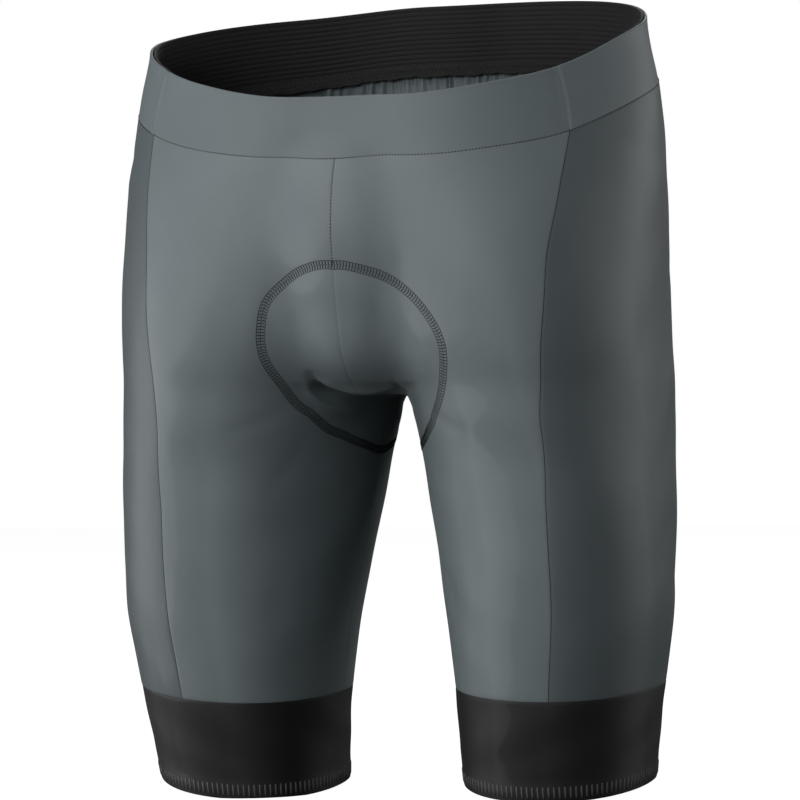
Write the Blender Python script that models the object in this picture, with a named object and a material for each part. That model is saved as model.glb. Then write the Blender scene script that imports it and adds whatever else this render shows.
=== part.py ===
"""Cycling shorts, filled out as when worn, in metres.

+Z is up, the front faces -Y and the wearer's left is +X. The origin is the centre of the waist
opening. Every cloth piece lies on one smooth form, a blend of two thigh tubes and the bulge over
the seat pad, and is a closed wall with a narrow gap to the pieces that it is sewn to.
"""

import bpy
import numpy as np

# Cloth walls
PANEL_WALL = 0.0013
BAND_WALL = 0.0018
ELASTIC_WALL = 0.0012
GRIPPER_WALL = 0.0015
SEAM_GAP = 0.0003

# Heights of the edges of the waistband and the grippers, at their front, sides and back
WAIST_TOP = (-0.0415, 0.0050, 0.0275)
WAIST_SEAM = (-0.0765, -0.0360, -0.0100)
GRIPPER_SEAM = (-0.4190, -0.4140, -0.4125)
HEM = (-0.4805, -0.4725, -0.4705)
WAIST_DEPTH = 0.108
HEM_DEPTH = 0.066

# One thigh tube by height: its axis, its reach outwards and inwards, to the front and to the back,
# how far its inner side leans back, how wide the rounding is where it meets the other tube, and
# how square its outline is, from 2 for an ellipse down to a lens
SECTION_COLUMNS = (
    "height", "axis_x", "axis_y", "outer", "inner", "front", "back", "lean", "round", "power",
)
SECTIONS = (
    (0.0500, 0.0400, -0.0030, 0.1230, 0.1540, 0.0980, 0.1020, 0.00, 0.012, 1.70),
    (-0.0090, 0.0400, -0.0040, 0.1270, 0.1560, 0.1005, 0.1060, 0.00, 0.012, 1.72),
    (-0.0340, 0.0420, -0.0055, 0.1300, 0.1550, 0.1015, 0.1100, 0.00, 0.013, 1.76),
    (-0.0590, 0.0450, -0.0065, 0.1300, 0.1500, 0.1045, 0.1140, 0.00, 0.015, 1.83),
    (-0.0960, 0.0520, -0.0080, 0.1240, 0.1400, 0.1100, 0.1205, 0.03, 0.034, 1.98),
    (-0.1340, 0.0620, -0.0070, 0.1128, 0.1240, 0.1150, 0.1260, 0.07, 0.046, 2.12),
    (-0.1710, 0.0740, -0.0040, 0.1012, 0.1070, 0.1175, 0.1230, 0.12, 0.042, 2.15),
    (-0.2000, 0.0815, -0.0020, 0.0942, 0.0945, 0.1165, 0.1160, 0.14, 0.026, 2.15),
    (-0.2210, 0.0880, -0.0015, 0.0885, 0.0815, 0.1130, 0.1090, 0.13, 0.008, 2.15),
    (-0.2400, 0.0925, -0.0030, 0.0841, 0.0783, 0.1090, 0.1048, 0.13, 0.007, 2.15),
    (-0.2590, 0.0975, -0.0045, 0.0795, 0.0790, 0.1045, 0.1005, 0.13, 0.014, 2.15),
    (-0.2960, 0.1016, -0.0085, 0.0770, 0.0770, 0.0965, 0.0950, 0.12, 0.012, 2.15),
    (-0.3340, 0.1043, -0.0130, 0.0740, 0.0738, 0.0885, 0.0880, 0.10, 0.012, 2.15),
    (-0.3710, 0.1063, -0.0160, 0.0710, 0.0698, 0.0820, 0.0820, 0.07, 0.012, 2.15),
    (-0.4180, 0.1055, -0.0175, 0.0652, 0.0640, 0.0735, 0.0735, 0.03, 0.012, 2.15),
    (-0.4450, 0.1045, -0.0160, 0.0620, 0.0618, 0.0690, 0.0690, 0.01, 0.012, 2.15),
    (-0.4750, 0.1030, -0.0130, 0.0592, 0.0588, 0.0650, 0.0650, 0.00, 0.012, 2.15),
    (-0.5100, 0.1010, -0.0100, 0.0550, 0.0550, 0.0610, 0.0610, 0.00, 0.012, 2.15),
)

# The bulge that the seat pad makes between the thighs
BULGE_CENTRE = (0.0, -0.0110, -0.1500)
BULGE_REACH = (0.0430, 0.1060, 0.0757)
BULGE_POWER = 4.0
BULGE_SIDE_POWER = 2.3
BULGE_ROUND_HEIGHTS = (-0.2290, -0.2170)
BULGE_ROUND = (0.008, 0.036)

# Directions of the side seams from the thigh tube's axis, in degrees from straight out sideways,
# with the front negative
SIDE_SEAM_COLUMNS = ("height", "front_seam", "back_seam")
SIDE_SEAMS = (
    (0.0500, -32.5, 64.0),
    (-0.0500, -34.5, 66.0),
    (-0.1000, -45.5, 68.0),
    (-0.1500, -58.0, 70.0),
    (-0.2000, -67.0, 71.0),
    (-0.2400, -72.5, 73.0),
    (-0.2900, -75.0, 75.0),
    (-0.3500, -75.5, 77.0),
    (-0.4150, -77.5, 79.0),
    (-0.5100, -78.0, 80.0),
)

# How far a look for the form's surface aims, and the least share of the way to it that counts
LOOK = 0.12
LEAST_SHARE = 0.05

# Rings run round each half of the body, from 0 at the waist seam to 1 at the gripper seam
CROTCH_Y = 0.004
HEART_HEIGHT = -0.130
CROTCH_RING = 0.56
CENTRE_LIFT = 0.060
CENTRE_LIFT_SPAN = 0.14
TILT_POWER = 1.5
ARCH_HEIGHT = 0.030
RINGS = np.concatenate([
    np.linspace(0.00, 0.12, 5)[:-1],
    np.linspace(0.12, 0.44, 7)[:-1],
    np.linspace(0.44, 0.68, 9)[:-1],
    np.linspace(0.68, 1.00, 5),
])
FRONT_COLUMNS = 12
FRONT_SPREAD = 1.25
SIDE_COLUMNS = 10

# Gathers of the back panels, under the elastic
GATHERS = 8
GATHER_COLUMNS = 3
GATHER_DEPTH = 0.0012
GATHER_RINGS = 0.13

# Waistband and the ribbed elastic behind its back
BAND_ROWS = 3
RIBS = 12
RIB_HEIGHT = 0.0006
ELASTIC_FOOT = 0.02
ELASTIC_TOP = 0.99
ELASTIC_INSET = 0.002

GRIPPER_ROWS = 3

# The seat pad's outline about the crotch: how far round it is, in degrees from the centre front
# by way of the inner-leg seam to the centre back, on which ring, and how far across the panel,
# which is negative behind. It runs on a little past both ends, to be round there.
PAD_COLUMNS = ("turn", "ring", "across")
PAD_OUTLINE = (
    (-7.5, 0.170, -0.128),
    (0.0, 0.155, 0.000),
    (7.5, 0.170, 0.128),
    (15.0, 0.200, 0.265),
    (22.5, 0.241, 0.380),
    (30.0, 0.300, 0.450),
    (37.5, 0.380, 0.507),
    (45.0, 0.473, 0.558),
    (52.5, 0.547, 0.555),
    (60.0, 0.590, 0.485),
    (72.0, 0.628, 0.308),
    (82.0, 0.648, 0.140),
    (90.0, 0.660, 0.000),
    (98.0, 0.648, -0.140),
    (108.0, 0.622, -0.310),
    (120.0, 0.560, -0.500),
    (135.0, 0.440, -0.620),
    (150.0, 0.335, -0.560),
    (165.0, 0.285, -0.320),
    (180.0, 0.270, 0.000),
    (195.0, 0.285, 0.320),
)
PAD_SLACK = 0.0028
PAD_EDGE = 0.0016
PAD_MIDDLE = 0.0070
PAD_ROWS = 10
PAD_SPREAD = 1.2
PAD_TURNS = 56

# Colours and roughness of the cloths
CLOTHS = {
    "front": ((0.145, 0.175, 0.185), 0.62),
    "side": ((0.070, 0.090, 0.098), 0.60),
    "back": ((0.110, 0.135, 0.143), 0.64),
    "waistband": ((0.105, 0.130, 0.138), 0.66),
    "elastic": ((0.022, 0.023, 0.025), 0.78),
    "gripper": ((0.013, 0.014, 0.015), 0.58),
    "pad": ((0.030, 0.032, 0.034), 0.85),
}


def curve(table, height):
    """Smooth curves through the columns of a table, at each height in its first column."""
    rows = np.array(table)
    rows = rows[np.argsort(rows[:, 0])]
    at, values = rows[:, 0], rows[:, 1:]
    slopes = np.gradient(values, at, axis=0)
    height = np.clip(height, at[0], at[-1])
    low = np.clip(np.searchsorted(at, height) - 1, 0, len(at) - 2)
    step = (at[low + 1] - at[low])[..., None]
    t = (height - at[low])[..., None] / step
    return (
        values[low] * (1 + 2 * t) * (1 - t) ** 2
        + values[low + 1] * t * t * (3 - 2 * t)
        + step * (slopes[low] * t * (1 - t) ** 2 - slopes[low + 1] * t * t * (1 - t))
    )


def sections(height):
    """The named columns of the thigh tube at each height."""
    return dict(zip(SECTION_COLUMNS[1:], np.moveaxis(curve(SECTIONS, height), -1, 0)))


def rim_height(rim, y, depth, middle=0.0):
    """The height of an edge that is given at its front, its sides and its back."""
    front, side, back = rim
    share = (y - middle) / depth
    return side + (back - front) / 2 * share + ((back + front) / 2 - side) * share**2


def smooth_least(a, b, width):
    """The lesser of two values, rounded where they are nearly equal."""
    near = np.maximum(width - np.abs(a - b), 0) / width
    return np.minimum(a, b) - near**2 * width / 4


def thigh(x, y, tube):
    """How far a point lies outside the thigh tube on the +X side, along the way from its axis."""
    across = x - tube["axis_x"]
    along = y - tube["axis_y"] + tube["lean"] * across
    wide = np.where(across > 0, tube["outer"], tube["inner"])
    deep = np.where(along < 0, tube["front"], tube["back"])
    power = tube["power"]
    share = (np.abs(across / wide) ** power + np.abs(along / deep) ** power) ** (1 / power)
    share = np.maximum(share, LEAST_SHARE)
    return np.hypot(across, along) * (1 - 1 / share)


def bulge(x, y, z):
    """How far a point lies outside the bulge over the seat pad."""
    parts = [p - c for p, c in zip((x, y, z), BULGE_CENTRE)]
    shares = [np.abs(p / r) for p, r in zip(parts, BULGE_REACH)]
    profile = (shares[1] ** BULGE_POWER + shares[2] ** BULGE_POWER) ** (1 / BULGE_POWER)
    share = (profile**BULGE_SIDE_POWER + shares[0] ** BULGE_SIDE_POWER) ** (1 / BULGE_SIDE_POWER)
    share = np.maximum(share, LEAST_SHARE)
    return np.sqrt(sum(p * p for p in parts)) * (1 - 1 / share)


def form(points):
    """How far each point lies outside the worn form, negative inside it."""
    x, y, z = np.moveaxis(points, -1, 0)
    tube = sections(z)
    pair = smooth_least(thigh(x, y, tube), thigh(-x, y, tube), tube["round"])
    round_by = np.interp(z, BULGE_ROUND_HEIGHTS, BULGE_ROUND)
    return smooth_least(pair, bulge(x, y, z), round_by)


def outward(points, step=0.0005):
    """The form's outward direction at each point, from its slopes along X, Y and Z."""
    slopes = [form(points + axis) - form(points - axis) for axis in np.eye(3) * step]
    slopes = np.stack(slopes, axis=-1)
    return slopes / np.linalg.norm(slopes, axis=-1, keepdims=True)


def reach(origin, target, looks=24, halvings=24):
    """The first point of the form's surface on the way from origin past target.

    A way that starts on the +X side and heads for the other side stops at the middle."""
    way = target - origin
    furthest = np.full(way.shape[:-1], 1.7)
    inward = (way[..., 0] < -1e-9) & (origin[..., 0] > 1e-9)
    to_middle = origin[..., 0] / np.where(inward, -way[..., 0], 1.0)
    furthest = np.where(inward, np.minimum(furthest, to_middle), furthest)
    low = np.zeros_like(furthest)
    high = furthest.copy()
    found = np.zeros(furthest.shape, bool)
    for look in range(1, looks + 1):
        at = furthest * look / looks
        outside = form(origin + at[..., None] * way) > 0
        high = np.where(outside & ~found, at, high)
        found |= outside
        low = np.where(found, low, at)
    for _ in range(halvings):
        middle = (low + high) / 2
        outside = form(origin + middle[..., None] * way) > 0
        high = np.where(outside, middle, high)
        low = np.where(outside, low, middle)
    return origin + ((low + high) / 2)[..., None] * way


def points_of(*parts):
    """Points from their X, Y and Z, any of which may be one number for all."""
    return np.stack(np.broadcast_arrays(*[np.asarray(p, float) for p in parts]), axis=-1)


def by_length(line, share):
    """Points at shares of a polyline's length."""
    steps = np.linalg.norm(np.diff(line, axis=0), axis=1)
    along = np.concatenate([[0], np.cumsum(steps)])
    return np.stack([np.interp(share * along[-1], along, line[:, k]) for k in range(3)], -1)


def round_waist(turn, share):
    """Points of the form round the waist: share is 0 at the waist seam and 1 at the top edge."""
    y = 0.0
    for _ in range(5):
        low = rim_height(WAIST_SEAM, y, WAIST_DEPTH)
        height = low + (rim_height(WAIST_TOP, y, WAIST_DEPTH) - low) * share
        origin = points_of(0.0, 0.0, height + 0 * turn)
        found = reach(origin, origin + LOOK * points_of(np.cos(turn), np.sin(turn), 0.0))
        y = found[..., 1]
    return found


def middle_seam(side):
    """The centre seam from the waist seam to the crotch: side is -1 in front and 1 behind."""
    turn = np.radians(np.linspace(0, 150, 601))
    heart = points_of(0.0, CROTCH_Y, HEART_HEIGHT)
    way = points_of(0.0, side * np.sin(turn), -np.cos(turn))
    line = reach(np.broadcast_to(heart, way.shape), heart + LOOK * way)
    over = line[:, 2] > rim_height(WAIST_SEAM, line[:, 1], WAIST_DEPTH)
    top = round_waist(np.array([side * np.pi / 2]), 0.0)
    return np.concatenate([top, line[:int(np.argmax(over))][::-1]])


def inner_seam(crotch):
    """The seam down the inside of the leg, from the crotch to the gripper."""
    height = np.linspace(crotch[2], GRIPPER_SEAM[1], 401)
    base = np.minimum(height, crotch[2] - ARCH_HEIGHT)
    tube = sections(height)
    near = np.clip((height - crotch[2]) / ARCH_HEIGHT + 1, 0, 1)
    y = tube["axis_y"] + tube["lean"] * tube["inner"]
    y = y + (CROTCH_Y - y) * near
    line = reach(points_of(sections(base)["axis_x"], y, base), points_of(1e-5, y, height))
    line[0] = crotch
    return line


FRONT_MIDDLE = middle_seam(-1)
BACK_MIDDLE = middle_seam(1)
INNER_SEAM = inner_seam(FRONT_MIDDLE[-1])


def ring_height(ring, y):
    """The height of a ring of the body, at a point that lies at y."""
    side = WAIST_SEAM[1] + (GRIPPER_SEAM[1] - WAIST_SEAM[1]) * ring
    tilt = np.clip(1 - ring / CROTCH_RING, 0, 1) ** TILT_POWER
    low = np.clip((ring - CROTCH_RING) / (1 - CROTCH_RING), 0, 1) ** 2
    middle = sections(side)["axis_y"]
    return (
        side
        + tilt * (rim_height(WAIST_SEAM, y, WAIST_DEPTH) - WAIST_SEAM[1])
        + low * (rim_height(GRIPPER_SEAM, y, HEM_DEPTH, middle) - GRIPPER_SEAM[1])
    )


def side_seam(name):
    """A side seam as a function of the ring."""
    number = SIDE_SEAM_COLUMNS.index(name) - 1

    def edge(ring):
        height = ring_height(ring, 0.0)
        for _ in range(5):
            turn = np.radians(curve(SIDE_SEAMS, height)[..., number])
            tube = sections(height)
            origin = points_of(tube["axis_x"], tube["axis_y"], height)
            found = reach(origin, origin + LOOK * points_of(np.cos(turn), np.sin(turn), 0.0))
            height = ring_height(ring, found[..., 1])
        return found
    return edge


def inner_edge(middle):
    """The inner edge of a front or back panel: the centre seam, then the inner-leg seam."""
    def edge(ring):
        above = by_length(middle, np.clip(ring / CROTCH_RING, 0, 1))
        below = by_length(INNER_SEAM, np.clip((ring - CROTCH_RING) / (1 - CROTCH_RING), 0, 1))
        return np.where((ring < CROTCH_RING)[..., None], above, below)
    return edge


front_inner = inner_edge(FRONT_MIDDLE)
back_inner = inner_edge(BACK_MIDDLE)
front_side = side_seam("front_seam")
back_side = side_seam("back_seam")


def ring_centre(ring):
    """Where a ring is seen from: the thigh tube's axis, or higher up near the crotch."""
    side = ring_height(ring, 0.0)
    lift = CENTRE_LIFT * np.exp(-(((ring - CROTCH_RING) / CENTRE_LIFT_SPAN) ** 2))
    tube = sections(side)
    return points_of(tube["axis_x"], tube["axis_y"], side + lift)


def between(first, second, across, ring):
    """Points of the form at shares across the cloth between two edges, along the rings."""
    centre = ring_centre(ring)
    marks = []
    for edge, sign in ((first, -1), (second, 1)):
        point = edge(ring)
        way = point - centre
        turn = np.arctan2(way[..., 1], way[..., 0])
        turn = np.where(sign * turn < -2.0, turn + sign * 2 * np.pi, turn)
        extra = point[..., 2] - ring_height(ring, point[..., 1])
        marks.append((turn, np.hypot(way[..., 0], way[..., 1]), extra))
    turn, far, extra = [a + (b - a) * across for a, b in zip(*marks)]
    x = centre[..., 0] + far * np.cos(turn)
    y = centre[..., 1] + far * np.sin(turn)
    centre = np.broadcast_to(centre, x.shape + (3,))
    for _ in range(3):
        found = reach(centre, points_of(x, y, ring_height(ring, y) + extra))
        x, y = found[..., 0], found[..., 1]
    return found


def round_leg(turn, share):
    """Points of the form round the gripper: share is 0 at its seam and 1 at the hem."""
    middle = sections(np.array(GRIPPER_SEAM[1]))["axis_y"]
    y = middle
    for _ in range(5):
        seam = rim_height(GRIPPER_SEAM, y, HEM_DEPTH, middle)
        height = seam + (rim_height(HEM, y, HEM_DEPTH, middle) - seam) * share
        tube = sections(height)
        origin = points_of(tube["axis_x"] + 0 * turn, tube["axis_y"], height)
        found = reach(origin, origin + LOOK * points_of(np.cos(turn), np.sin(turn), 0.0))
        y = found[..., 1]
    return found


def drawn_in(grid, amount, rows=True, columns=True):
    """A grid of points with its border moved in along the cloth, to leave a gap at its seams."""
    grid = grid.copy()
    for axis in (0, 1):
        if not (rows, columns)[axis]:
            continue
        lines = np.moveaxis(grid, axis, 0)
        for end, beside in ((0, 1), (-1, -2)):
            way = lines[beside] - lines[end]
            lines[end] += amount * way / np.linalg.norm(way, axis=-1, keepdims=True)
    return grid


def grid_faces(rows, columns, around):
    """Triangles over a grid of points, round and closed along its columns if asked."""
    row, column = np.meshgrid(np.arange(rows - 1), np.arange(columns - (not around)), indexing="ij")
    beside = (column + 1) % columns
    a, b = row * columns + column, row * columns + beside
    c, d = (row + 1) * columns + beside, (row + 1) * columns + column
    quads = np.stack([a, b, c, d], -1).reshape(-1, 4)
    return np.concatenate([quads[:, [0, 1, 2]], quads[:, [0, 2, 3]]])


def border(rows, columns, around):
    """The closed lines of point numbers that bound a grid."""
    number = np.arange(rows * columns).reshape(rows, columns)
    if around:
        return [number[0], number[-1][::-1]]
    return [np.concatenate([number[0, :-1], number[:-1, -1], number[-1, :0:-1], number[:0:-1, 0]])]


def closed(outer, inner, faces, borders):
    """A closed body from two faces of like points, joined along their borders."""
    count = len(outer)
    parts = [faces, faces[:, ::-1] + count]
    for line in borders:
        after = np.roll(line, -1)
        parts.append(np.stack([after, line, line + count], -1))
        parts.append(np.stack([after, line + count, after + count], -1))
    points, faces = np.concatenate([outer, inner]), np.concatenate(parts)
    corners = points[faces]
    volume = np.einsum("ij,ij->", corners[:, 0], np.cross(corners[:, 1], corners[:, 2]))
    return points, faces if volume > 0 else faces[:, ::-1]


def wall(grid, thickness, around=False, depth=0.0, relief=0.0, nearest=None):
    """A closed cloth wall under a grid of the form's points.

    Depth sets the whole wall in from the form, relief raises its inner face, and nearest is how
    close it may come to the middle."""
    out = outward(grid)
    outer = grid - out * np.asarray(depth)[..., None]
    inner = outer - out * np.asarray(thickness + relief)[..., None]
    if nearest is not None:
        outer[..., 0] = np.maximum(outer[..., 0], nearest)
        inner[..., 0] = np.maximum(inner[..., 0], nearest)
    rows, columns = grid.shape[:2]
    return closed(
        outer.reshape(-1, 3), inner.reshape(-1, 3),
        grid_faces(rows, columns, around), border(rows, columns, around),
    )


def mirrored(body):
    """A body of the wearer's left side, turned into the one of the right."""
    points, faces = body
    return points * (-1, 1, 1), faces[:, ::-1]


def front_grid():
    across = (np.linspace(0, 1, FRONT_COLUMNS + 1) ** FRONT_SPREAD)[:, None]
    return between(front_inner, front_side, across, RINGS[None, :])


def side_grid():
    across = np.linspace(0, 1, SIDE_COLUMNS + 1)[:, None]
    return between(front_side, back_side, across, RINGS[None, :])


def back_grid():
    across = np.linspace(0, 1, GATHERS * GATHER_COLUMNS + 1)[:, None]
    return between(back_side, back_inner, across, RINGS[None, :])


def panel(grid):
    """A front or side panel."""
    return wall(drawn_in(grid, SEAM_GAP / 2), PANEL_WALL, nearest=SEAM_GAP / 2)


def gathered_panel(grid):
    """A back panel, gathered under the elastic in waves that fade out downwards."""
    across = np.linspace(0, 1, len(grid))[:, None]
    fade = np.clip(1 - RINGS[None, :] / GATHER_RINGS, 0, 1)
    waves = GATHER_DEPTH * fade * (1 - np.cos(2 * np.pi * GATHERS * across))
    return wall(drawn_in(grid, SEAM_GAP / 2), PANEL_WALL, depth=waves, nearest=SEAM_GAP / 2)


def turns(points, middle=(0.0, 0.0)):
    """The directions of points as seen from a middle, counted on from the first one."""
    return np.unwrap(np.arctan2(points[:, 1] - middle[1], points[:, 0] - middle[0]))


def waistband(turn):
    """A stretch of the waistband, with its columns in the given directions."""
    grid = round_waist(turn[None, :], np.linspace(0, 1, BAND_ROWS + 1)[:, None])
    return wall(drawn_in(grid, SEAM_GAP / 2), BAND_WALL)


def waist_elastic(turn):
    """The elastic behind the waistband's back, with ribs raised on its inner face.

    Its columns lie behind some of the waistband's, so that it stays inside it."""
    rows = 2 * RIBS + 1
    share = np.linspace(ELASTIC_FOOT, ELASTIC_TOP, rows)[:, None]
    grid = drawn_in(round_waist(turn[None, :], share), ELASTIC_INSET, rows=False)
    ribs = RIB_HEIGHT * (np.arange(rows) % 2)[:, None] * np.ones(grid.shape[:2])
    return wall(grid, ELASTIC_WALL, depth=BAND_WALL + SEAM_GAP, relief=ribs)


def gripper(points):
    """A gripper round the leg, with its columns under those of the panels above it."""
    axis = sections(np.array(GRIPPER_SEAM[1]))
    turn = turns(points, (axis["axis_x"], axis["axis_y"]))
    grid = round_leg(turn[None, :], np.linspace(0, 1, GRIPPER_ROWS + 1)[:, None])
    return wall(drawn_in(grid, SEAM_GAP / 2, columns=False), GRIPPER_WALL, around=True)


def seat_pad():
    """The pad inside the crotch: a disc on the form, thickest in its middle.

    Its points lie on lines from the crotch to its outline, on the panels above them."""
    turn = np.linspace(0, 180, PAD_TURNS // 2 + 1)
    outline = curve(PAD_OUTLINE, turn)
    share = (np.linspace(1 / PAD_ROWS, 1, PAD_ROWS) ** PAD_SPREAD)[:, None]
    ring = CROTCH_RING + share * (outline[:, 0] - CROTCH_RING)
    across = share * np.abs(outline[:, 1])
    front = turn <= 90
    half = np.concatenate([
        between(front_inner, front_side, across[:, front], ring[:, front]),
        between(back_side, back_inner, 1 - across[:, ~front], ring[:, ~front]),
    ], axis=1)
    grid = np.concatenate([half, half[:, -2:0:-1] * (-1, 1, 1)], axis=1)
    rows, columns = grid.shape[:2]
    points = np.concatenate([grid.reshape(-1, 3), FRONT_MIDDLE[-1:]])
    middle = 1 - np.concatenate([np.repeat(share, columns), [0.0]]) ** 2
    thick = PAD_EDGE + (PAD_MIDDLE - PAD_EDGE) * middle
    out = outward(points)
    outer = points - out * (PANEL_WALL + PAD_SLACK)
    inner = outer - out * thick[:, None]
    first = np.arange(columns)
    fan = np.stack([np.roll(first, -1), first, np.full(columns, rows * columns)], -1)
    faces = np.concatenate([grid_faces(rows, columns, True), fan])
    edge = np.arange((rows - 1) * columns, rows * columns)[::-1]
    return closed(outer, inner, faces, [edge])


def cloth(name):
    """A plain material of one cloth's colour and roughness."""
    colour, roughness = CLOTHS[name]
    material = bpy.data.materials.new(name + "_cloth")
    material.use_nodes = True
    shader = material.node_tree.nodes["Principled BSDF"]
    shader.inputs["Base Color"].default_value = (*colour, 1.0)
    shader.inputs["Roughness"].default_value = roughness
    material.diffuse_color = (*colour, 1.0)
    return material


def add(name, body, kind):
    """Puts a body into the scene as an object of the given name and cloth."""
    points, faces = body
    mesh = bpy.data.meshes.new(name)
    mesh.from_pydata(points.tolist(), [], faces.tolist())
    mesh.materials.append(cloth(kind))
    mesh.shade_smooth()
    mesh.set_sharp_from_angle(angle=np.radians(50))
    thing = bpy.data.objects.new(name, mesh)
    bpy.context.scene.collection.objects.link(thing)
    return thing


def add_pair(name, body, kind):
    """Adds a body of the wearer's left side and its mirror image."""
    add(name + "_left", body, kind)
    add(name + "_right", mirrored(body), kind)


def main():
    for thing in list(bpy.data.objects):
        bpy.data.objects.remove(thing)
    front, side, back = front_grid(), side_grid(), back_grid()
    add_pair("front", panel(front), "front")
    add_pair("side", panel(side), "side")
    add_pair("back", gathered_panel(back), "back")
    mirror = (-1, 1, 1)
    across_front = turns(np.concatenate([front[::-1, 0] * mirror, front[1:, 0]])[::-1])[::-1]
    half_back = np.concatenate([side[:-1, 0], back[:, 0]])
    across_back = turns(np.concatenate([half_back, half_back[-2::-1] * mirror]))
    add("waistband_front", waistband(across_front), "waistband")
    add("waistband_back", waistband(across_back), "waistband")
    half = np.concatenate([
        across_back[:SIDE_COLUMNS:2], across_back[SIDE_COLUMNS:len(half_back):GATHER_COLUMNS],
    ])
    across_elastic = np.concatenate([half, np.pi - half[-2::-1]])
    add("waist_elastic", waist_elastic(across_elastic), "elastic")
    round_the_leg = np.concatenate([front[:-1, -1], side[:-1, -1], back[:-1, -1]])
    add_pair("gripper", gripper(round_the_leg), "gripper")
    add("seat_pad", seat_pad(), "pad")


main()
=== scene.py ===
import bpy
import numpy as np
from mathutils import Matrix, Vector


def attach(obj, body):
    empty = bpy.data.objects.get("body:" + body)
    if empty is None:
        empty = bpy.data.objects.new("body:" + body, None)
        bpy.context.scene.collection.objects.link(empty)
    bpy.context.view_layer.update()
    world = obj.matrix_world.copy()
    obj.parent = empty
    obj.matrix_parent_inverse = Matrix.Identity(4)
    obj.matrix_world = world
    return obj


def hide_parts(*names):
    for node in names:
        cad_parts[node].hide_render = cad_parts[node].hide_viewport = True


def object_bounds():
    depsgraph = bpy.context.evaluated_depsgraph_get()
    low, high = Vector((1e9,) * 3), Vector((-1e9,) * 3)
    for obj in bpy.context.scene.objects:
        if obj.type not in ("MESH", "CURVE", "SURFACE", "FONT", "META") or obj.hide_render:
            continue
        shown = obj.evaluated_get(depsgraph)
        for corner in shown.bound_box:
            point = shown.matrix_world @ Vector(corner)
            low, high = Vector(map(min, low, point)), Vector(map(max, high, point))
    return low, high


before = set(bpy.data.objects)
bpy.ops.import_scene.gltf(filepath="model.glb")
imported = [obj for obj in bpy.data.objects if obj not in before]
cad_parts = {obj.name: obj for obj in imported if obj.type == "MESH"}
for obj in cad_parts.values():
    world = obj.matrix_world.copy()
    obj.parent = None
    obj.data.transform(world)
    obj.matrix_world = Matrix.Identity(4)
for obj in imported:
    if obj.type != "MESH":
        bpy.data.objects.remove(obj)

# The looks of the cycling shorts, in metres: +Z is up, the front faces -Y, the wearer's left is +X.
# Every cloth is a fine shell on the same worn form as its solid. The form's tables come first,
# then the surfaces, the threads, the materials, and the studio.

CAD_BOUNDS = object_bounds()
BODY = "root"

# Cloth walls
PANEL_WALL = 0.0013
BAND_WALL = 0.0018
ELASTIC_WALL = 0.0012
GRIPPER_WALL = 0.0015
SEAM_GAP = 0.0003

# Heights of the edges of the waistband and the grippers, at their front, sides and back
WAIST_TOP = (-0.0415, 0.0050, 0.0275)
WAIST_SEAM = (-0.0765, -0.0360, -0.0100)
GRIPPER_SEAM = (-0.4190, -0.4140, -0.4125)
HEM = (-0.4805, -0.4725, -0.4705)
WAIST_DEPTH = 0.108
HEM_DEPTH = 0.066

# One thigh tube by height: its axis, its reach outwards and inwards, to the front and to the back,
# how far its inner side leans back, how wide the rounding is where it meets the other tube, and
# how square its outline is, from 2 for an ellipse down to a lens
SECTION_COLUMNS = (
    "height", "axis_x", "axis_y", "outer", "inner", "front", "back", "lean", "round", "power",
)
SECTIONS = (
    (0.0500, 0.0400, -0.0030, 0.1230, 0.1540, 0.0980, 0.1020, 0.00, 0.012, 1.70),
    (-0.0090, 0.0400, -0.0040, 0.1270, 0.1560, 0.1005, 0.1060, 0.00, 0.012, 1.72),
    (-0.0340, 0.0420, -0.0055, 0.1300, 0.1550, 0.1015, 0.1100, 0.00, 0.013, 1.76),
    (-0.0590, 0.0450, -0.0065, 0.1300, 0.1500, 0.1045, 0.1140, 0.00, 0.015, 1.83),
    (-0.0960, 0.0520, -0.0080, 0.1240, 0.1400, 0.1100, 0.1205, 0.03, 0.034, 1.98),
    (-0.1340, 0.0620, -0.0070, 0.1128, 0.1240, 0.1150, 0.1260, 0.07, 0.046, 2.12),
    (-0.1710, 0.0740, -0.0040, 0.1012, 0.1070, 0.1175, 0.1230, 0.12, 0.042, 2.15),
    (-0.2000, 0.0815, -0.0020, 0.0942, 0.0945, 0.1165, 0.1160, 0.14, 0.026, 2.15),
    (-0.2210, 0.0880, -0.0015, 0.0885, 0.0815, 0.1130, 0.1090, 0.13, 0.008, 2.15),
    (-0.2400, 0.0925, -0.0030, 0.0841, 0.0783, 0.1090, 0.1048, 0.13, 0.007, 2.15),
    (-0.2590, 0.0975, -0.0045, 0.0795, 0.0790, 0.1045, 0.1005, 0.13, 0.014, 2.15),
    (-0.2960, 0.1016, -0.0085, 0.0770, 0.0770, 0.0965, 0.0950, 0.12, 0.012, 2.15),
    (-0.3340, 0.1043, -0.0130, 0.0740, 0.0738, 0.0885, 0.0880, 0.10, 0.012, 2.15),
    (-0.3710, 0.1063, -0.0160, 0.0710, 0.0698, 0.0820, 0.0820, 0.07, 0.012, 2.15),
    (-0.4180, 0.1055, -0.0175, 0.0652, 0.0640, 0.0735, 0.0735, 0.03, 0.012, 2.15),
    (-0.4450, 0.1045, -0.0160, 0.0620, 0.0618, 0.0690, 0.0690, 0.01, 0.012, 2.15),
    (-0.4750, 0.1030, -0.0130, 0.0592, 0.0588, 0.0650, 0.0650, 0.00, 0.012, 2.15),
    (-0.5100, 0.1010, -0.0100, 0.0550, 0.0550, 0.0610, 0.0610, 0.00, 0.012, 2.15),
)

# The bulge that the seat pad makes between the thighs
BULGE_CENTRE = (0.0, -0.0110, -0.1500)
BULGE_REACH = (0.0430, 0.1060, 0.0757)
BULGE_POWER = 4.0
BULGE_SIDE_POWER = 2.3
BULGE_ROUND_HEIGHTS = (-0.2290, -0.2170)
BULGE_ROUND = (0.008, 0.036)

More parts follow.
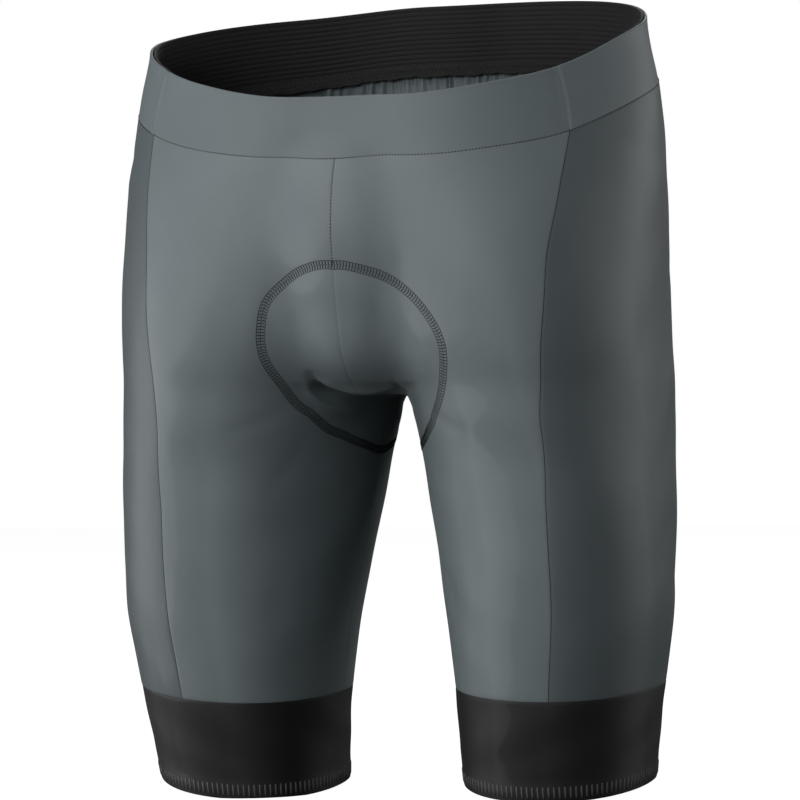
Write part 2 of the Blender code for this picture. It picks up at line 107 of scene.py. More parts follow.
# Directions of the side seams from the thigh tube's axis, in degrees from straight out sideways,
# with the front negative
SIDE_SEAM_COLUMNS = ("height", "front_seam", "back_seam")
SIDE_SEAMS = (
    (0.0500, -32.5, 64.0),
    (-0.0500, -34.5, 66.0),
    (-0.1000, -45.5, 68.0),
    (-0.1500, -58.0, 70.0),
    (-0.2000, -67.0, 71.0),
    (-0.2400, -72.5, 73.0),
    (-0.2900, -75.0, 75.0),
    (-0.3500, -75.5, 77.0),
    (-0.4150, -77.5, 79.0),
    (-0.5100, -78.0, 80.0),
)

# How far a look for the form's surface aims, and the least share of the way to it that counts
LOOK = 0.12
LEAST_SHARE = 0.05

# Rings run round each half of the body, from 0 at the waist seam to 1 at the gripper seam
CROTCH_Y = 0.004
HEART_HEIGHT = -0.130
CROTCH_RING = 0.56
CENTRE_LIFT = 0.060
CENTRE_LIFT_SPAN = 0.14
TILT_POWER = 1.5
ARCH_HEIGHT = 0.030

# Gathers of the back panels, under the elastic: their depth, number and reach, how far they lean, and
# the sines by which they drift sideways, vary in depth and end higher or lower: size, pace and start
GATHER_DEPTH = 0.00204
GATHER_COUNT = 13
GATHER_RINGS = 0.13
GATHER_LEAN = 7.0
GATHER_DRIFT = ((0.022, 9.2, 0.8), (0.008, 31.0, 2.0))
GATHER_DEPTHS = ((0.30, 17.0, 1.2),)
GATHER_ENDS = ((0.35, 23.0, 0.5),)

# The ribbed elastic behind the back of the waistband: its ribs, and where its edges lie on the band
RIBS = 12
RIB_HEIGHT = 0.00051
ELASTIC_FOOT = 0.02
ELASTIC_TOP = 1.004
ELASTIC_GAP = 0.0004

# The seat pad's outline about the crotch: how far round it is, in degrees from the centre front by
# way of the inner-leg seam to the centre back, on which ring, and how far across the panel, which is
# negative behind. In front, the ring and the share of the overlocked seam round the pad follow: on
# the wearer's left, where it reaches further round the thigh, and on the right. The outlines run on
# a little past both ends, to be round there.
FRONT_OUTLINES = (
    (-7.5, 0.170, -0.128, 0.168, -0.125, 0.168, -0.125),
    (0.0, 0.155, 0.000, 0.150, 0.000, 0.150, 0.000),
    (7.5, 0.170, 0.128, 0.171, 0.145, 0.162, 0.120),
    (15.0, 0.200, 0.265, 0.208, 0.290, 0.193, 0.240),
    (22.5, 0.241, 0.380, 0.252, 0.410, 0.232, 0.345),
    (30.0, 0.300, 0.450, 0.314, 0.510, 0.285, 0.395),
    (37.5, 0.380, 0.507, 0.410, 0.595, 0.355, 0.436),
    (45.0, 0.473, 0.558, 0.500, 0.636, 0.450, 0.490),
    (52.5, 0.547, 0.555, 0.565, 0.615, 0.532, 0.519),
    (60.0, 0.590, 0.485, 0.602, 0.525, 0.581, 0.461),
    (72.0, 0.628, 0.308, 0.635, 0.330, 0.621, 0.298),
    (82.0, 0.648, 0.140, 0.650, 0.150, 0.645, 0.140),
    (90.0, 0.660, 0.000, 0.660, 0.000, 0.660, 0.000),
    (98.0, 0.648, -0.140, 0.648, -0.140, 0.648, -0.140),
)
PAD_BEHIND = (
    (108.0, 0.622, -0.310),
    (120.0, 0.560, -0.500),
    (135.0, 0.440, -0.620),
    (150.0, 0.335, -0.560),
    (165.0, 0.285, -0.320),
    (180.0, 0.270, 0.000),
    (195.0, 0.285, 0.320),
)
PAD_OUTLINE = tuple(row[:3] for row in FRONT_OUTLINES) + PAD_BEHIND
OVAL_LEFT = tuple(row[:1] + row[3:5] for row in FRONT_OUTLINES)
OVAL_RIGHT = tuple(row[:1] + row[5:] for row in FRONT_OUTLINES)
PAD_SLACK = 0.0028
PAD_EDGE = 0.0016
PAD_MIDDLE = 0.0070


def bell(away, width):
    """A bell curve of a distance: 1 at nought, and about a third of that one width away."""
    return np.exp(-((away / width) ** 2))


def risen(value, rise):
    """The share that a value has risen by, from 0 to 1: rise is where it starts and how long it is."""
    return np.clip((value - rise[0]) / rise[1], 0, 1)


def eased(share):
    """A share from 0 to 1 as a smooth step."""
    return share**2 * (3 - 2 * share)


def curve(table, height):
    """Smooth curves through the columns of a table, at each height in its first column."""
    rows = np.array(table)
    rows = rows[np.argsort(rows[:, 0])]
    at, values = rows[:, 0], rows[:, 1:]
    slopes = np.gradient(values, at, axis=0)
    height = np.clip(height, at[0], at[-1])
    low = np.clip(np.searchsorted(at, height) - 1, 0, len(at) - 2)
    step = (at[low + 1] - at[low])[..., None]
    t = (height - at[low])[..., None] / step
    return (
        values[low] * (1 + 2 * t) * (1 - t) ** 2
        + values[low + 1] * t * t * (3 - 2 * t)
        + step * (slopes[low] * t * (1 - t) ** 2 - slopes[low + 1] * t * t * (1 - t))
    )


def sections(height):
    """The named columns of the thigh tube at each height."""
    return dict(zip(SECTION_COLUMNS[1:], np.moveaxis(curve(SECTIONS, height), -1, 0)))


def rim_height(rim, y, depth, middle=0.0):
    """The height of an edge that is given at its front, its sides and its back."""
    front, side, back = rim
    share = (y - middle) / depth
    return side + (back - front) / 2 * share + ((back + front) / 2 - side) * share**2


def smooth_least(a, b, width):
    """The lesser of two values, rounded where they are nearly equal."""
    near = np.maximum(width - np.abs(a - b), 0) / width
    return np.minimum(a, b) - near**2 * width / 4


def thigh(x, y, tube):
    """How far a point lies outside the thigh tube on the +X side, along the way from its axis."""
    across = x - tube["axis_x"]
    along = y - tube["axis_y"] + tube["lean"] * across
    wide = np.where(across > 0, tube["outer"], tube["inner"])
    deep = np.where(along < 0, tube["front"], tube["back"])
    power = tube["power"]
    share = (np.abs(across / wide) ** power + np.abs(along / deep) ** power) ** (1 / power)
    share = np.maximum(share, LEAST_SHARE)
    return np.hypot(across, along) * (1 - 1 / share)


def bulge(x, y, z):
    """How far a point lies outside the bulge over the seat pad."""
    parts = [p - c for p, c in zip((x, y, z), BULGE_CENTRE)]
    shares = [np.abs(p / r) for p, r in zip(parts, BULGE_REACH)]
    profile = (shares[1] ** BULGE_POWER + shares[2] ** BULGE_POWER) ** (1 / BULGE_POWER)
    share = (profile**BULGE_SIDE_POWER + shares[0] ** BULGE_SIDE_POWER) ** (1 / BULGE_SIDE_POWER)
    share = np.maximum(share, LEAST_SHARE)
    return np.sqrt(sum(p * p for p in parts)) * (1 - 1 / share)


def form(points):
    """How far each point lies outside the worn form, negative inside it."""
    x, y, z = np.moveaxis(points, -1, 0)
    tube = sections(z)
    pair = smooth_least(thigh(x, y, tube), thigh(-x, y, tube), tube["round"])
    round_by = np.interp(z, BULGE_ROUND_HEIGHTS, BULGE_ROUND)
    return smooth_least(pair, bulge(x, y, z), round_by)


def outward(points, step=0.0005):
    """The form's outward direction at each point, from its slopes along X, Y and Z."""
    slopes = [form(points + axis) - form(points - axis) for axis in np.eye(3) * step]
    slopes = np.stack(slopes, axis=-1)
    return slopes / np.linalg.norm(slopes, axis=-1, keepdims=True)


def reach(origin, target, looks=24, halvings=24):
    """The first point of the form's surface on the way from origin past target.

    A way that starts on the +X side and heads for the other side stops at the middle."""
    way = target - origin
    furthest = np.full(way.shape[:-1], 1.7)
    inward = (way[..., 0] < -1e-9) & (origin[..., 0] > 1e-9)
    to_middle = origin[..., 0] / np.where(inward, -way[..., 0], 1.0)
    furthest = np.where(inward, np.minimum(furthest, to_middle), furthest)
    low = np.zeros_like(furthest)
    high = furthest.copy()
    found = np.zeros(furthest.shape, bool)
    for look in range(1, looks + 1):
        at = furthest * look / looks
        outside = form(origin + at[..., None] * way) > 0
        high = np.where(outside & ~found, at, high)
        found |= outside
        low = np.where(found, low, at)
    for _ in range(halvings):
        middle = (low + high) / 2
        outside = form(origin + middle[..., None] * way) > 0
        high = np.where(outside, middle, high)
        low = np.where(outside, low, middle)
    return origin + ((low + high) / 2)[..., None] * way


def points_of(*parts):
    """Points from their X, Y and Z, any of which may be one number for all."""
    return np.stack(np.broadcast_arrays(*[np.asarray(p, float) for p in parts]), axis=-1)


def by_length(line, share):
    """Points at shares of a polyline's length."""
    steps = np.linalg.norm(np.diff(line, axis=0), axis=1)
    along = np.concatenate([[0], np.cumsum(steps)])
    return np.stack([np.interp(share * along[-1], along, line[:, k]) for k in range(3)], -1)


def tube_axis(height):
    """Where the thigh tube's axis passes each height."""
    tube = sections(height)
    return tube["axis_x"], tube["axis_y"]


def level_reach(axis, turn, height):
    """The form's surface at a height, in a direction on the level from an axis."""
    origin = points_of(axis[0] + 0 * turn, axis[1], height)
    return reach(origin, origin + LOOK * points_of(np.cos(turn), np.sin(turn), 0.0))


def round_band(turn, share, edges, depth, middle=0.0, axis=lambda height: (0.0, 0.0)):
    """Points of the form round a band: share is 0 at the first of its edges and 1 at the second.

    The edges' heights depend on how far forward each point is found, so it looks a few times."""
    y = middle
    for _ in range(5):
        first, second = [rim_height(edge, y, depth, middle) for edge in edges]
        height = first + (second - first) * share
        found = level_reach(axis(height), turn, height)
        y = found[..., 1]
    return found


def round_waist(turn, share):
    """Points of the form round the waist: share is 0 at the waist seam and 1 at the top edge."""
    return round_band(turn, share, (WAIST_SEAM, WAIST_TOP), WAIST_DEPTH)


def round_leg(turn, share):
    """Points of the form round the gripper: share is 0 at its seam and 1 at the hem."""
    middle = sections(np.array(GRIPPER_SEAM[1]))["axis_y"]
    return round_band(turn, share, (GRIPPER_SEAM, HEM), HEM_DEPTH, middle, tube_axis)


def middle_seam(side):
    """The centre seam from the waist seam to the crotch: side is -1 in front and 1 behind."""
    turn = np.radians(np.linspace(0, 150, 601))
    heart = points_of(0.0, CROTCH_Y, HEART_HEIGHT)
    way = points_of(0.0, side * np.sin(turn), -np.cos(turn))
    line = reach(np.broadcast_to(heart, way.shape), heart + LOOK * way)
    over = line[:, 2] > rim_height(WAIST_SEAM, line[:, 1], WAIST_DEPTH)
    top = round_waist(np.array([side * np.pi / 2]), 0.0)
    return np.concatenate([top, line[:int(np.argmax(over))][::-1]])


def inner_seam(crotch):
    """The seam down the inside of the leg, from the crotch to the gripper."""
    height = np.linspace(crotch[2], GRIPPER_SEAM[1], 401)
    base = np.minimum(height, crotch[2] - ARCH_HEIGHT)
    tube = sections(height)
    near = np.clip((height - crotch[2]) / ARCH_HEIGHT + 1, 0, 1)
    y = tube["axis_y"] + tube["lean"] * tube["inner"]
    y = y + (CROTCH_Y - y) * near
    line = reach(points_of(sections(base)["axis_x"], y, base), points_of(1e-5, y, height))
    line[0] = crotch
    return line


FRONT_MIDDLE = middle_seam(-1)
BACK_MIDDLE = middle_seam(1)
INNER_SEAM = inner_seam(FRONT_MIDDLE[-1])


def ring_height(ring, y):
    """The height of a ring of the body, at a point that lies at y."""
    side = WAIST_SEAM[1] + (GRIPPER_SEAM[1] - WAIST_SEAM[1]) * ring
    tilt = np.clip(1 - ring / CROTCH_RING, 0, 1) ** TILT_POWER
    low = np.clip((ring - CROTCH_RING) / (1 - CROTCH_RING), 0, 1) ** 2
    middle = sections(side)["axis_y"]
    return (
        side
        + tilt * (rim_height(WAIST_SEAM, y, WAIST_DEPTH) - WAIST_SEAM[1])
        + low * (rim_height(GRIPPER_SEAM, y, HEM_DEPTH, middle) - GRIPPER_SEAM[1])
    )


def side_seam(name):
    """A side seam as a function of the ring."""
    number = SIDE_SEAM_COLUMNS.index(name) - 1

    def edge(ring):
        height = ring_height(ring, 0.0)
        for _ in range(5):
            turn = np.radians(curve(SIDE_SEAMS, height)[..., number])
            found = level_reach(tube_axis(height), turn, height)
            height = ring_height(ring, found[..., 1])
        return found
    return edge


def inner_edge(middle):
    """The inner edge of a front or back panel: the centre seam, then the inner-leg seam."""
    def edge(ring):
        above = by_length(middle, np.clip(ring / CROTCH_RING, 0, 1))
        below = by_length(INNER_SEAM, np.clip((ring - CROTCH_RING) / (1 - CROTCH_RING), 0, 1))
        return np.where((ring < CROTCH_RING)[..., None], above, below)
    return edge


front_inner = inner_edge(FRONT_MIDDLE)
back_inner = inner_edge(BACK_MIDDLE)
front_side = side_seam("front_seam")
back_side = side_seam("back_seam")


def ring_centre(ring):
    """Where a ring is seen from: the thigh tube's axis, or higher up near the crotch."""
    side = ring_height(ring, 0.0)
    lift = CENTRE_LIFT * bell(ring - CROTCH_RING, CENTRE_LIFT_SPAN)
    return points_of(*tube_axis(side), side + lift)


def between(first, second, across, ring):
    """Points of the form at shares across the cloth between two edges, along the rings."""
    centre = ring_centre(ring)
    marks = []
    for edge, sign in ((first, -1), (second, 1)):
        point = edge(ring)
        way = point - centre
        turn = np.arctan2(way[..., 1], way[..., 0])
        turn = np.where(sign * turn < -2.0, turn + sign * 2 * np.pi, turn)
        extra = point[..., 2] - ring_height(ring, point[..., 1])
        marks.append((turn, np.hypot(way[..., 0], way[..., 1]), extra))
    turn, far, extra = [a + (b - a) * across for a, b in zip(*marks)]
    x = centre[..., 0] + far * np.cos(turn)
    y = centre[..., 1] + far * np.sin(turn)
    centre = np.broadcast_to(centre, x.shape + (3,))
    for _ in range(3):
        found = reach(centre, points_of(x, y, ring_height(ring, y) + extra))
        x, y = found[..., 0], found[..., 1]
    return found


def drawn_in(grid, amount, rows=True):
    """A grid of points with its border moved in along the cloth, to leave a gap at its seams."""
    grid = grid.copy()
    for axis in (0, 1) if rows else (1,):
        lines = np.moveaxis(grid, axis, 0)
        for end, beside in ((0, 1), (-1, -2)):
            way = lines[beside] - lines[end]
            lines[end] += amount * way / np.linalg.norm(way, axis=-1, keepdims=True)
    return grid


def grid_faces(rows, columns, around):
    """Triangles over a grid of points, round and closed along its columns if asked."""
    row, column = np.meshgrid(np.arange(rows - 1), np.arange(columns - (not around)), indexing="ij")
    beside = (column + 1) % columns
    a, b = row * columns + column, row * columns + beside
    c, d = (row + 1) * columns + beside, (row + 1) * columns + column
    quads = np.stack([a, b, c, d], -1).reshape(-1, 4)
    return np.concatenate([quads[:, [0, 1, 2]], quads[:, [0, 2, 3]]])


def border(rows, columns, around):
    """The closed lines of point numbers that bound a grid."""
    number = np.arange(rows * columns).reshape(rows, columns)
    if around:
        return [number[0], number[-1][::-1]]
    return [np.concatenate([number[0, :-1], number[:-1, -1], number[-1, :0:-1], number[:0:-1, 0]])]


def facing_out(points, faces):
    """A closed body with its faces turned outward."""
    corners = points[faces]
    volume = np.einsum("ij,ij->", corners[:, 0], np.cross(corners[:, 1], corners[:, 2]))
    return points, faces if volume > 0 else faces[:, ::-1]


def closed(outer, inner, faces, borders):
    """A closed body from two faces of like points, joined along their borders."""
    count = len(outer)
    parts = [faces, faces[:, ::-1] + count]
    for line in borders:
        after = np.roll(line, -1)
        parts.append(np.stack([after, line, line + count], -1))
        parts.append(np.stack([after, line + count, after + count], -1))
    return facing_out(np.concatenate([outer, inner]), np.concatenate(parts))


# Finer grids for the cloths, with lines crowded by their cut edges, in metres from the edge
EDGE_STEPS = (0.0, 0.00015, 0.0004, 0.0008, 0.0014, 0.0022, 0.0034, 0.0052)
PANEL_HEIGHT = WAIST_SEAM[1] - GRIPPER_SEAM[1]
PANEL_ROWS = 150
PANEL_COLUMNS = {"front": 62, "side": 62, "back": 72}
BAND_COLUMNS = {"front": 110, "back": 170}
SEWN_GAP = 0.00002
SEAM_DIP = 0.00014
SEAM_REACH = 0.0009
SEAM_ROUND = 0.00008

# The overlocked seam round the pad: how deep it pulls the cloth in, and how far this swells inside it
OVAL_DIP = 0.0002
OVAL_REACH = 0.0030
OVAL_SWELL = 0.0011
OVAL_SWELL_REACH = 0.010

# Small forms: the fold along the waistband's top, the hem's fold and the middle of the bars over it,
# the overlocked edge under the elastic, and the pad's channels and quilting
TOP_FOLD = 0.0003
HEM_FOLD = 0.0004
BAR_HEIGHT = 0.0060
GRIPPER_HEIGHT = GRIPPER_SEAM[1] - HEM[1]
SKIRT_WALL = 0.0009
CHANNEL_DEPTH = 0.0016
QUILT_DEPTH = 0.0005

# Creases and soft ridges of the worn cloth, in millimetres: three points that each one passes near,
# how wide it is, and how far it stands out (or, with a minus, dips)
CREASES = (
    # the fold under the front of the crotch, and the ridges that go with it
    (-27, -95, -208, -21, -67, -227, 8, -44, -230, 3.8, -4.6),
    (-20, -88, -212, -1, -79, -222, 23, -75, -221, 6.5, 2.7),
    (-32, -91, -220, -27, -69, -233, -14, -30, -240, 2.6, 2.4),
    (24, -90, -213, 26, -78, -221, 26, -66, -229, 2.4, -1.0),
    # the cloth drawn up between the legs
    (-10, 16, -230, -16, 44, -232, -24, 74, -234, 7.0, -2.6),
    (22, -62, -231, 17, -46, -233, 10, -20, -234, 5.0, -1.0),
    (10, 16, -230, 16, 44, -232, 24, 74, -234, 5.0, -1.0),
    # pulls that run from the crotch out over the thighs
    (36, -84, -226, 56, -96, -240, 84, -98, -247, 5.0, -0.35),
    (-38, -84, -226, -58, -97, -240, -88, -99, -246, 6.0, -0.35),
    (-34, -72, -244, -46, -80, -268, -66, -88, -292, 6.0, -0.3),
    # soft dents and swells down the front of the thighs
    (46, -76, -335, 53, -74, -350, 58, -78, -366, 7.0, -0.7),
    (62, -88, -322, 70, -90, -345, 72, -88, -372, 9.0, 0.5),
    (-52, -76, -330, -58, -80, -352, -60, -80, -380, 9.0, -0.4),
    (-118, -86, -296, -126, -82, -322, -130, -78, -350, 9.0, 0.4),
    # light pulls at the waist and the hips
    (140, -54, -70, 152, -26, -80, 162, 4, -82, 7.0, -0.35),
    (-138, -56, -72, -152, -28, -80, -164, 4, -84, 6.0, -0.5),
    (-140, -56, -90, -155, -26, -96, -165, 6, -96, 6.5, 0.4),
    # under the seat, where the thighs meet it
    (40, 92, -196, 78, 118, -206, 118, 100, -200, 6.0, -1.2),
    (-42, 92, -198, -80, 118, -210, -120, 98, -202, 6.0, -1.3),
    (44, 100, -184, 80, 122, -192, 112, 110, -188, 7.0, 0.8),
    (-40, 100, -186, -76, 122, -196, -110, 110, -192, 7.0, 0.8),
    (34, 78, -214, 62, 98, -232, 92, 102, -236, 5.0, -0.8),
    (-34, 78, -216, -60, 98, -238, -96, 100, -246, 5.0, -0.9),
    (28, 64, -232, 44, 78, -256, 66, 86, -280, 4.5, -0.7),
    (-28, 62, -234, -42, 76, -254, -60, 84, -272, 4.5, -0.7),
    (22, 92, -150, 44, 112, -160, 76, 122, -158, 8.0, 0.6),
    (-20, 92, -146, -42, 112, -156, -72, 122, -160, 8.0, 0.6),
    # behind the thighs and over the hips
    (78, 90, -300, 100, 88, -312, 128, 74, -310, 7.0, -0.7),
    (-74, 90, -306, -98, 88, -320, -126, 74, -322, 7.0, -0.6),
    (92, 80, -350, 108, 72, -366, 134, 56, -366, 7.0, 0.6),
    (-88, 80, -344, -106, 74, -362, -132, 58, -360, 7.0, 0.6),
    (150, 50, -120, 158, 30, -150, 164, 0, -164, 9.0, -0.6),
    (-150, 50, -124, -160, 28, -156, -166, -4, -172, 9.0, -0.6),
    (164, 10, -196, 170, -2, -226, 172, -12, -262, 9.0, 0.5),
    (-164, 10, -200, -170, -8, -236, -172, -20, -268, 9.0, 0.6),
    (166, 30, -330, 170, 14, -346, 172, 0, -350, 8.0, -0.5),
    (-166, 30, -318, -170, 10, -336, -170, -12, -344, 8.0, -0.6),
)

# Slow waves of the whole cloth: direction and length of each, and how far it stands out
WAVES = (
    ((0.8, 0.3, 0.5), 0.061, 0.00018, 0.4),
    ((-0.5, 0.7, 0.5), 0.047, 0.00014, 1.9),
    ((0.3, -0.6, 0.7), 0.033, 0.00010, 3.1),
    ((-0.6, -0.4, 0.7), 0.075, 0.00022, 5.2),
)

# How the worn waist sits: its rim let down and filled out in the middle of the front, the seam under
# it raised there, level from front to back on the right, and pulled down at the front of the left
# hip. Each RISE says where a share leaves nought, and over what length it comes to one.
MIDDLE_DROP = 0.0016
MIDDLE_RISE = 0.0010
MIDDLE_FILL = 0.0020
MIDDLE_SPAN = 0.028
SEAM_HEIGHT = -0.080
SEAM_SPAN = 0.014
RIM_RISE = (-0.085, 0.035)
FILL_RISE = (-0.078, 0.020)
HIP_RISE = (-0.150, 0.070)
RIGHT_LEVEL = 0.0042
RIGHT_RISE = (0.010, 0.090)
RIGHT_MIDDLE = -0.015
SIDE_SPAN = 0.05
LEFT_PULL = 0.0036
LEFT_HIP = (0.130, -0.070)
LEFT_SPAN = 0.038

# How the grippers sit on the right leg and the left: how far the join above each is moved up, and
# its hem, its slope across the leg, and where that slope is nought. It sets in down the leg.
LEG_RISE = (0.290, 0.110)
GRIPPER_SET = ((0.0008, -0.0020, -0.080, -0.084), (0.0046, 0.0006, -0.020, 0.120))


def spaced(length, count):
    """Shares of a length: the edge steps from both ends, and count even steps between them."""
    length = np.asarray(length, float)[None, ...]
    edge = np.array(EDGE_STEPS).reshape((-1,) + (1,) * (length.ndim - 1))
    even = np.linspace(0, 1, count + 1)[1:-1].reshape((-1,) + (1,) * (length.ndim - 1))
    middle = edge[-1:] + (length - 2 * edge[-1:]) * even
    return np.concatenate([edge + 0 * length, middle, (length - edge)[::-1]]) / length


def length_of(lines):
    """Lengths of the polylines down the first axis of a grid of points."""
    return np.linalg.norm(np.diff(lines, axis=0), axis=-1).sum(axis=0)


def from_edge(share, length):
    """How far a share of a length lies from the nearer end."""
    return np.minimum(share, 1 - share) * length


def drop_on(points, looks=6):
    """Points moved along the form's slope onto the form."""
    for _ in range(looks):
        points = points - form(points)[..., None] * outward(points)
    return points


def gripper_rise(x, z, values):
    """How far a leg's end is moved up: a slope across it, and more at the join than at the hem.

    It fades out up the leg by a smooth step."""
    join, hem, slope, level = values
    down = risen(-z, (-GRIPPER_SEAM[0], GRIPPER_SEAM[0] - HEM[0]))
    return eased(risen(-z, LEG_RISE)) * (join + (hem - join) * down + slope * (x - level))


def settled(points):
    """Points of the worn waist moved a little, most at the rim and less down to the hips.

    Bell curves sideways move the middle of the front; a hyperbolic tangent from front to back
    levels the right side; a bell curve pulls the front of the left hip down."""
    x, y, z = points.T
    middle = bell(x, MIDDLE_SPAN) * risen(-y, (0.0, SIDE_SPAN))
    fill = risen(z, FILL_RISE)
    seam = MIDDLE_RISE * bell(z - SEAM_HEIGHT, SEAM_SPAN)
    tilt = RIGHT_LEVEL * eased(risen(-x, RIGHT_RISE)) * np.tanh((y - RIGHT_MIDDLE) / SIDE_SPAN)
    pull = LEFT_PULL * bell(np.hypot(x - LEFT_HIP[0], y - LEFT_HIP[1]), LEFT_SPAN)
    rise = (seam - eased(risen(z, RIM_RISE)) * MIDDLE_DROP) * middle
    rise = rise - eased(risen(z, HIP_RISE)) * (tilt + pull)
    rise = rise + np.where(x < 0, *[gripper_rise(x, z, values) for values in GRIPPER_SET])
    return points + np.stack([0 * x, -MIDDLE_FILL * middle * fill, rise], -1)


def way_to(line, points):
    """How far each point is from a polyline, and at which share of its length it is nearest."""
    flat = points.reshape(-1, 3)
    nearest = np.full(len(flat), 9.0)
    share = np.zeros(len(flat))
    steps = np.linalg.norm(np.diff(line, axis=0), axis=1)
    ends = np.concatenate([[0], np.cumsum(steps)])
    for k, step in enumerate(steps):
        way = (line[k + 1] - line[k]) / step
        at = np.clip((flat - line[k]) @ way, 0, step)
        away = np.linalg.norm(flat - line[k] - at[:, None] * way, axis=1)
        share = np.where(away < nearest, (ends[k] + at) / ends[-1], share)
        nearest = np.minimum(nearest, away)
    return nearest.reshape(points.shape[:-1]), share.reshape(points.shape[:-1])


def crease_lines():
    """Each crease as a polyline on the form: a parabola through its three points, dropped on it."""
    rows = np.array(CREASES, float) / 1000
    start, middle, end = rows[:, 0:3], rows[:, 3:6], rows[:, 6:9]
    t = np.linspace(0, 1, 9)[:, None, None]
    line = start * (1 - t) * (1 - 2 * t) + middle * 4 * t * (1 - t) + end * t * (2 * t - 1)
    return drop_on(line), rows[:, 9], rows[:, 10]


CREASE_LINES, CREASE_WIDTHS, CREASE_HEIGHTS = crease_lines()


def relief(points):
    """How far the worn cloth stands out from the form.

    Each crease is a bell curve of the distance from its line, fading at both ends; the slow waves
    are sines along their directions."""
    lift = np.zeros(points.shape[:-1])
    for way, length, height, phase in WAVES:
        lift += height * np.sin(2 * np.pi * (points @ np.array(way)) / length + phase)
    for number, (width, height) in enumerate(zip(CREASE_WIDTHS, CREASE_HEIGHTS)):
        away, share = way_to(CREASE_LINES[:, number], points)
        lift += height * bell(away, width) * np.sin(np.pi * share) ** 0.7
    return lift


def dip(away, depth=SEAM_DIP, width=SEAM_REACH):
    """The groove of a seam, a bell curve of the distance from it."""
    return -depth * bell(away, width)


def pad_marks(turn, table=PAD_OUTLINE):
    """Ring and share across of an outline, at turns from 0 in front to 180 behind."""
    outline = curve(table, turn)
    return outline[..., 0], np.abs(outline[..., 1])


def inside_oval(ring, across, turn, table):
    """Whether points of a panel lie inside an outline.

    Counts how often a level line from the point crosses the outline, in rings and shares."""
    rings, shares = pad_marks(turn, table)
    crossings = np.zeros(np.broadcast(ring, across).shape, bool)
    for k in range(90):
        low, high = rings[k], rings[k + 1]
        between_ends = (ring >= min(low, high)) & (ring < max(low, high))
        step = high - low if high != low else 1.0
        at = shares[k] + (ring - low) / step * (shares[k + 1] - shares[k])
        crossings ^= between_ends & (across < at)
    return crossings


FRONT_TURNS = np.linspace(0, 90, 91)
BACK_TURNS = np.linspace(90, 180, 91)


def oval_seam(turn, table):
    """The oval seam on a front or back panel of the left, as points of the form."""
    ring, across = pad_marks(turn, table)
    if turn[0] < 90:
        return between(front_inner, front_side, across, ring)
    return between(back_side, back_inner, 1 - across, ring)


OVALS = {
    "left": oval_seam(FRONT_TURNS, OVAL_LEFT),
    "right": oval_seam(FRONT_TURNS, OVAL_RIGHT),
    "back": oval_seam(BACK_TURNS, PAD_OUTLINE),
}


def cloth_grid(first, second, columns):
    """A panel's points between two seams, and how far across, down and from its edge each one is."""
    ring = spaced(PANEL_HEIGHT, PANEL_ROWS)[None, :]
    coarse = between(first, second, np.linspace(0, 1, 13)[:, None], ring)
    width = length_of(coarse)
    across = spaced(width, columns)
    grid = between(first, second, across, ring)
    edge = np.minimum(from_edge(across, width), from_edge(ring, PANEL_HEIGHT))
    uv = flat_map((across - 0.5) * width, ring * PANEL_HEIGHT)
    return {"grid": grid, "across": across, "ring": ring, "edge": edge, "uv": uv}


def rolled(away, radius):
    """How far a rounded edge falls away, a quarter circle over the distance from it."""
    near = np.clip(1 - away / radius, 0, 0.92)
    return radius * (1 - np.sqrt(1 - near**2))


def flat_map(across, down):
    """The cloth's UV map in metres, from how far across and how far down each point is."""
    return np.stack(np.broadcast_arrays(across, down), -1)


def shell(grid, uv, sewn, thickness, lift, around=False, free=1.0, ribs=0.0):
    """A closed cloth wall of the given thickness on a grid of the form's points.

    Lift moves it outwards, ribs thicken it on the inside, its sewn edges are rounded a little and
    its free ones fully, by the distances from them."""
    out = outward(grid)
    fall = np.maximum(rolled(sewn, SEAM_ROUND), rolled(free, thickness / 2))
    outer = grid + out * (lift - fall)[..., None]
    inner = grid + out * (lift - thickness + fall - ribs)[..., None]
    rows, columns = grid.shape[:2]
    points, faces = closed(
        outer.reshape(-1, 3), inner.reshape(-1, 3),
        grid_faces(rows, columns, around), border(rows, columns, around),
    )
    flat = np.broadcast_to(uv, grid.shape[:2] + (2,)).reshape(-1, 2)
    return points, faces, np.concatenate([flat, flat])


def panel_shell(parts, extra, right):
    """A panel of the left or right side: the relief, the dip by its seams and an extra lift."""
    grid = drawn_in(parts["grid"], SEWN_GAP)
    grid[..., 0] = np.maximum(grid[..., 0], SEWN_GAP)
    grid = grid * (-1, 1, 1) if right else grid
    lift = relief(grid) + dip(parts["edge"]) + extra
    return shell(grid, parts["uv"], parts["edge"], PANEL_WALL, lift)


def oval_lift(parts, across, turn, table, line):
    """What the oval seam does to the cloth over it: a groove along it and a swell inside."""
    away, _ = way_to(line, parts["grid"])
    inside = inside_oval(parts["ring"] + 0 * across, across, turn, table)
    swell = OVAL_SWELL * (1 - bell(away, OVAL_SWELL_REACH))
    swell = swell * np.clip((CROTCH_RING - parts["ring"]) / 0.15, 0, 1)
    return np.where(inside, swell, 0.0) + dip(away, OVAL_DIP, OVAL_REACH)


def sines(share, rows):
    """The sum of sines of a share, from the size, pace and start of each."""
    return sum(size * np.sin(pace * share + start) for size, pace, start in rows)


